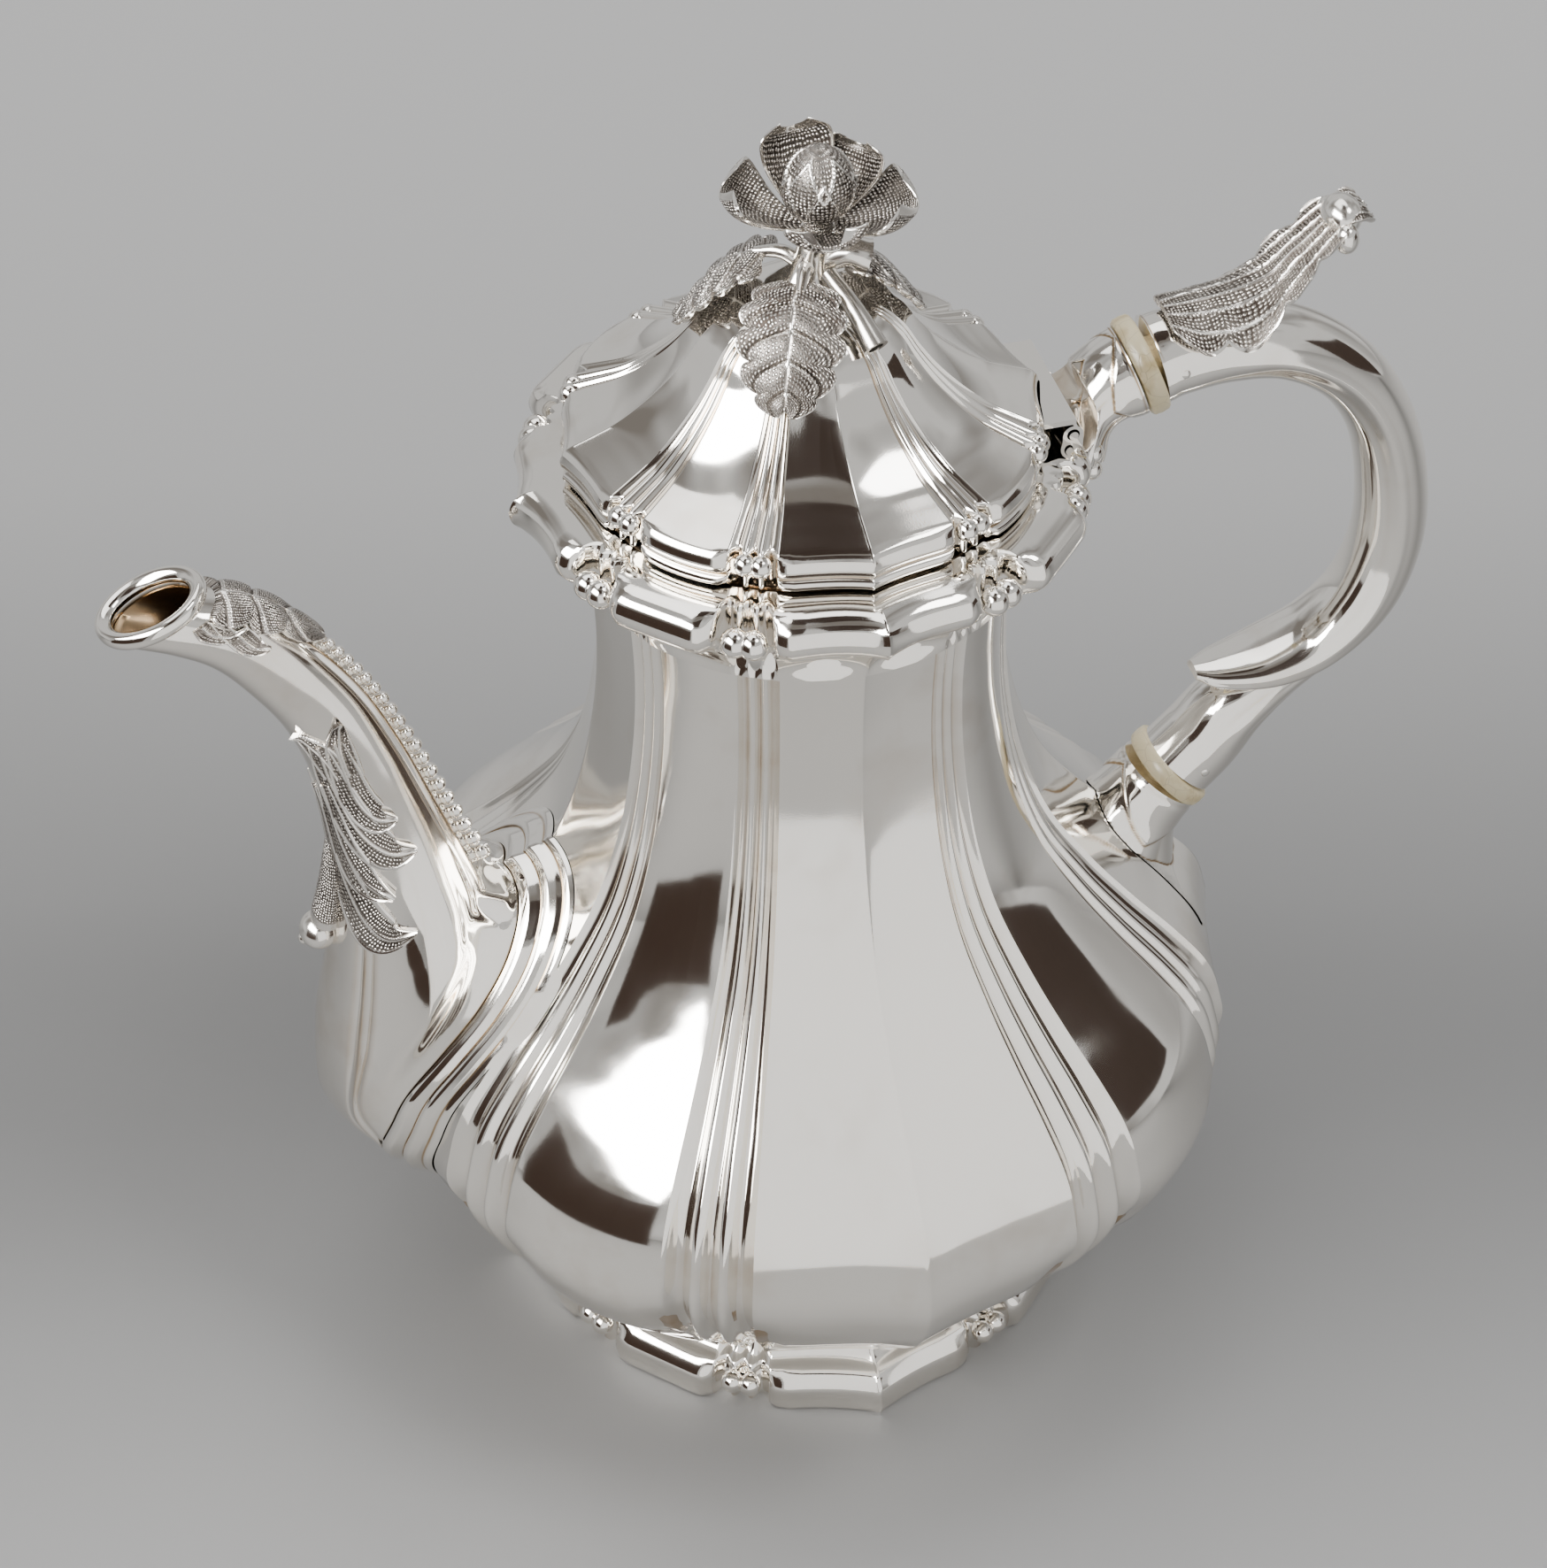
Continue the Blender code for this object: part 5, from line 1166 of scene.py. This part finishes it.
class PotLook(bpy.types.PropertyGroup):
    """Colours, finishes and lights"""

    silver: hex_colour("Silver", "Polished silver", "#F3EFE8")
    # Painted shade as well: this warm colour shows both tarnished grooves and the shade painted in grooves and
    # insides.
    tarnish_and_shade: hex_colour("Tarnish", "Warm tarnish in the grooves", "#B49A78")
    patina: hex_colour("Patina", "Grey sulphide on chased leaves", "#A8A199")
    # Painted shade as well: the darkest colour is both the deep sulphide between punched grains and the shade painted
    # inside the spout.
    dark_deposit_and_shade: hex_colour("Deep patina", "Darkest deposit", "#3B342F")
    ivory: hex_colour("Ivory", "Ivory", "#EBDDB8")
    ivory_dark: hex_colour("Aged ivory", "Yellowed patches", "#CDB98A")
    paper: hex_colour("Paper", "Floor", "#C9C9C9")
    polish: FloatProperty(
        name="Polish", description="Roughness of polished silver", default=0.05, min=0.0, max=1.0
    )
    waviness: FloatProperty(
        name="Waviness", description="Depth of the hammer's waves", default=0.00018, min=0.0, precision=5,
        subtype="DISTANCE", unit="LENGTH",
    )  # fmt: skip
    ivory_crack: hex_colour("Ivory cracks", "Dirt in the age cracks", "#8A6F48")
    # Painted shadow: the colour of the darker band painted across the floor at the pot.
    painted_shadow_band: hex_colour("Paper shade", "Band across the floor at the pot", "#8C8C8C")
    # Painted light: the lighter colour painted on the floor far behind the pot.
    painted_far_light: hex_colour("Far paper", "Floor behind the pot", "#DCDCDC")
    room: hex_colour("Dark room", "What shows between the lights", "#3A2C24")
    left: FloatProperty(
        name="Left light", description="Power of the softbox that only reflects", default=22.0, min=0.0, unit="POWER"
    )
    right: FloatProperty(
        name="Right light", description="Power of the softbox on the right", default=3.0, min=0.0, unit="POWER"
    )
    reflector: FloatProperty(
        name="Reflector", description="Glow of the white card in front", default=0.78, min=0.0
    )
    tent_white: hex_colour("Tent white", "Lit cloth", "#F6F6F6")
    tent_grey: hex_colour("Tent grey", "Cloth in half shade", "#C4C3C2")
    tent_shade: hex_colour("Tent shade", "Folds and the room beyond", "#8F8A85")
    tent: FloatProperty(
        name="Tent light", description="Strength of the light all round", default=0.75, min=0.0
    )
    key: FloatProperty(
        name="Overhead light", description="Power of the softbox above", default=9.0, min=0.0, unit="POWER"
    )


class PotSizes(bpy.types.PropertyGroup):
    """Counts and sizes that can be changed"""

    beads: IntProperty(
        name="Spout beads", description="Graded beads on the spout's upper edge", default=20, min=5, max=30
    )
    petal_lift: FloatProperty(
        name="Petal lift", description="Added height of the petals' tips", default=0.0, subtype="DISTANCE", unit="LENGTH"
    )


# ---- operators ----
class MixFinishes(bpy.types.Operator):
    """Make silver, chased silver and ivory"""

    bl_idname = "coffeepot.finishes"
    bl_label = "Mix the finishes"

    def execute(self, context):
        look = context.scene.pot_look
        finishes.update(polished=polished_silver(look), chased=chased_silver(look), ivory=old_ivory(look))
        return {"FINISHED"}


class RaiseVessel(bpy.types.Operator):
    """Raise the body, its foot and the collar, and dress the seat ring"""

    bl_idname = "coffeepot.vessel"
    bl_label = "Raise the vessel"

    def execute(self, context):
        make_piece("foot", foot_shells(), "polished", "pot", ["foot_ring"])
        make_piece("body", body_shells(), "polished", "pot", ["body_shell"])
        make_piece("collar", collar_shells(), "polished", "pot", ["neck_collar"])
        make_piece("seat_ring", turned_ring(SEAT_RING), "polished", "pot", ["lid_seat_ring"])
        return {"FINISHED"}


class FormSpout(bpy.types.Operator):
    """Form the spout with its moulding, lip, beads and acanthus leaves"""

    bl_idname = "coffeepot.spout"
    bl_label = "Form the spout"

    def execute(self, context):
        make_piece("spout", spout_shells(), "polished", "pot", ["spout_body"])
        make_piece("spout_moulding", moulding_shells(), "polished", "pot", ["spout_root_moulding"])
        make_piece("spout_rim", lip_shells(), "polished", "pot", ["spout_lip"])
        make_piece("spout_beads", bead_shells(context.scene.pot_sizes.beads), "polished", "pot", ["spout_bead_row"])
        make_piece("spout_tip_acanthus", tip_leaf_shells(), "chased", "pot", ["spout_tip_leaf"])
        make_piece("spout_acanthus_near", side_leaf_shells(1), "chased", "pot", ["spout_leaf_near"])
        make_piece("spout_acanthus_far", side_leaf_shells(-1), "chased", "pot", ["spout_leaf_far"])
        make_piece("spout_curl", foot_curl_shells(), "chased", "pot", ["spout_foot_curl"])
        return {"FINISHED"}


class FitHandle(bpy.types.Operator):
    """Fit sockets, ivory discs, the scroll with its branch, the pins and the thumb leaf"""

    bl_idname = "coffeepot.handle"
    bl_label = "Fit the handle"

    def execute(self, context):
        rings = {"upper": (RING_UPPER, RING_UPPER_DIR), "lower": (RING_LOWER, RING_LOWER_DIR)}
        make_piece("socket_upper", upper_socket_shells(), "polished", "pot", ["upper_socket"])
        make_piece("socket_lower", lower_socket_shells(), "polished", "pot", ["lower_socket"])
        make_piece("scroll", scroll_shells(), "polished", "pot", ["handle_scroll"])
        make_piece("branch", branch_shells(), "polished", "pot", ["handle_branch"])
        for end, ring in rings.items():
            make_piece("ivory_" + end, insulator_shells(*ring), "ivory", "pot", [end + "_insulator"])
        for name, side, half in PINS:
            pin = pin_shells(*rings[name[:5]], side, half)
            make_piece(name + "_rivet", pin, "polished", "pot", [name + "_pin"])
        make_piece("thumb_acanthus", thumb_leaf_shells(), "chased", "pot", ["thumb_leaf"])
        return {"FINISHED"}


class HangLid(bpy.types.Operator):
    """Raise the lid and dress the hinge, the bezel and the nut"""

    bl_idname = "coffeepot.lid"
    bl_label = "Hang the lid"

    def execute(self, context):
        make_piece("lid", lid_shells(), "polished", "lid", ["lid_shell"])
        make_piece("bezel", turned_ring(BEZEL), "polished", "lid", ["lid_bezel"])
        for name in ("hinge_bracket", "hinge_pin", "lid_hinge_plate", "finial_nut"):
            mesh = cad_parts[name].data
            mesh.materials.clear()
            mesh.materials.append(finishes["polished"])
        return {"FINISHED"}


class MountFinial(bpy.types.Operator):
    """Mount the flower, bud, leaves, stem and cut twig"""

    bl_idname = "coffeepot.finial"
    bl_label = "Mount the finial"

    def execute(self, context):
        lift = context.scene.pot_sizes.petal_lift / MM
        make_piece("stem", stem_shells(), "chased", "lid", ["finial_stem"])
        for name, azimuth, length, rise, spread in PETALS:
            make_piece("flower_" + name, petal_shells(azimuth, length, rise + lift, spread), "chased", "lid", [name])
        make_piece("flower_bud", bud_shells(), "chased", "lid", ["bud"])
        for name, azimuth in FINIAL_LEAVES:
            make_piece("finial_" + name, finial_leaf_shells(azimuth), "chased", "lid", [name])
        make_piece("cut_twig", stub_shells(), "chased", "lid", ["twig_stub"])
        return {"FINISHED"}


class SetStage(bpy.types.Operator):
    """Lay the paper, hang the lights and place the camera"""

    bl_idname = "coffeepot.stage"
    bl_label = "Set the stage"

    def execute(self, context):
        build_stage(context.scene.pot_look)
        return {"FINISHED"}


class PotPanel(bpy.types.Panel):
    """Sidebar with a button for each step and every setting"""

    bl_idname = "VIEW3D_PT_coffee_pot"
    bl_label = "Coffee pot"
    bl_space_type = "VIEW_3D"
    bl_region_type = "UI"
    bl_category = "Coffee pot"

    def draw(self, context):
        for operator in STEPS:
            self.layout.operator(operator.bl_idname)
        for settings in (context.scene.pot_look, context.scene.pot_sizes):
            for name in settings.__annotations__:
                self.layout.prop(settings, name)


STEPS = (MixFinishes, RaiseVessel, FormSpout, FitHandle, HangLid, MountFinial, SetStage)
CLASSES = (PotLook, PotSizes, *STEPS, PotPanel)


def register():
    """Add the settings, operators and panel to Blender."""
    for cls in CLASSES:
        bpy.utils.register_class(cls)
    bpy.types.Scene.pot_look = PointerProperty(type=PotLook)
    bpy.types.Scene.pot_sizes = PointerProperty(type=PotSizes)


def unregister():
    """Take them away again, in the reverse order."""
    del bpy.types.Scene.pot_sizes, bpy.types.Scene.pot_look
    for cls in reversed(CLASSES):
        bpy.utils.unregister_class(cls)


def main():
    """Run every step."""
    register()
    for step in STEPS:
        name = step.bl_idname.split(".")[1]
        if getattr(bpy.ops.coffeepot, name)() != {"FINISHED"}:
            raise RuntimeError(f"{name} did not finish")


if __name__ == "__main__":
    main()
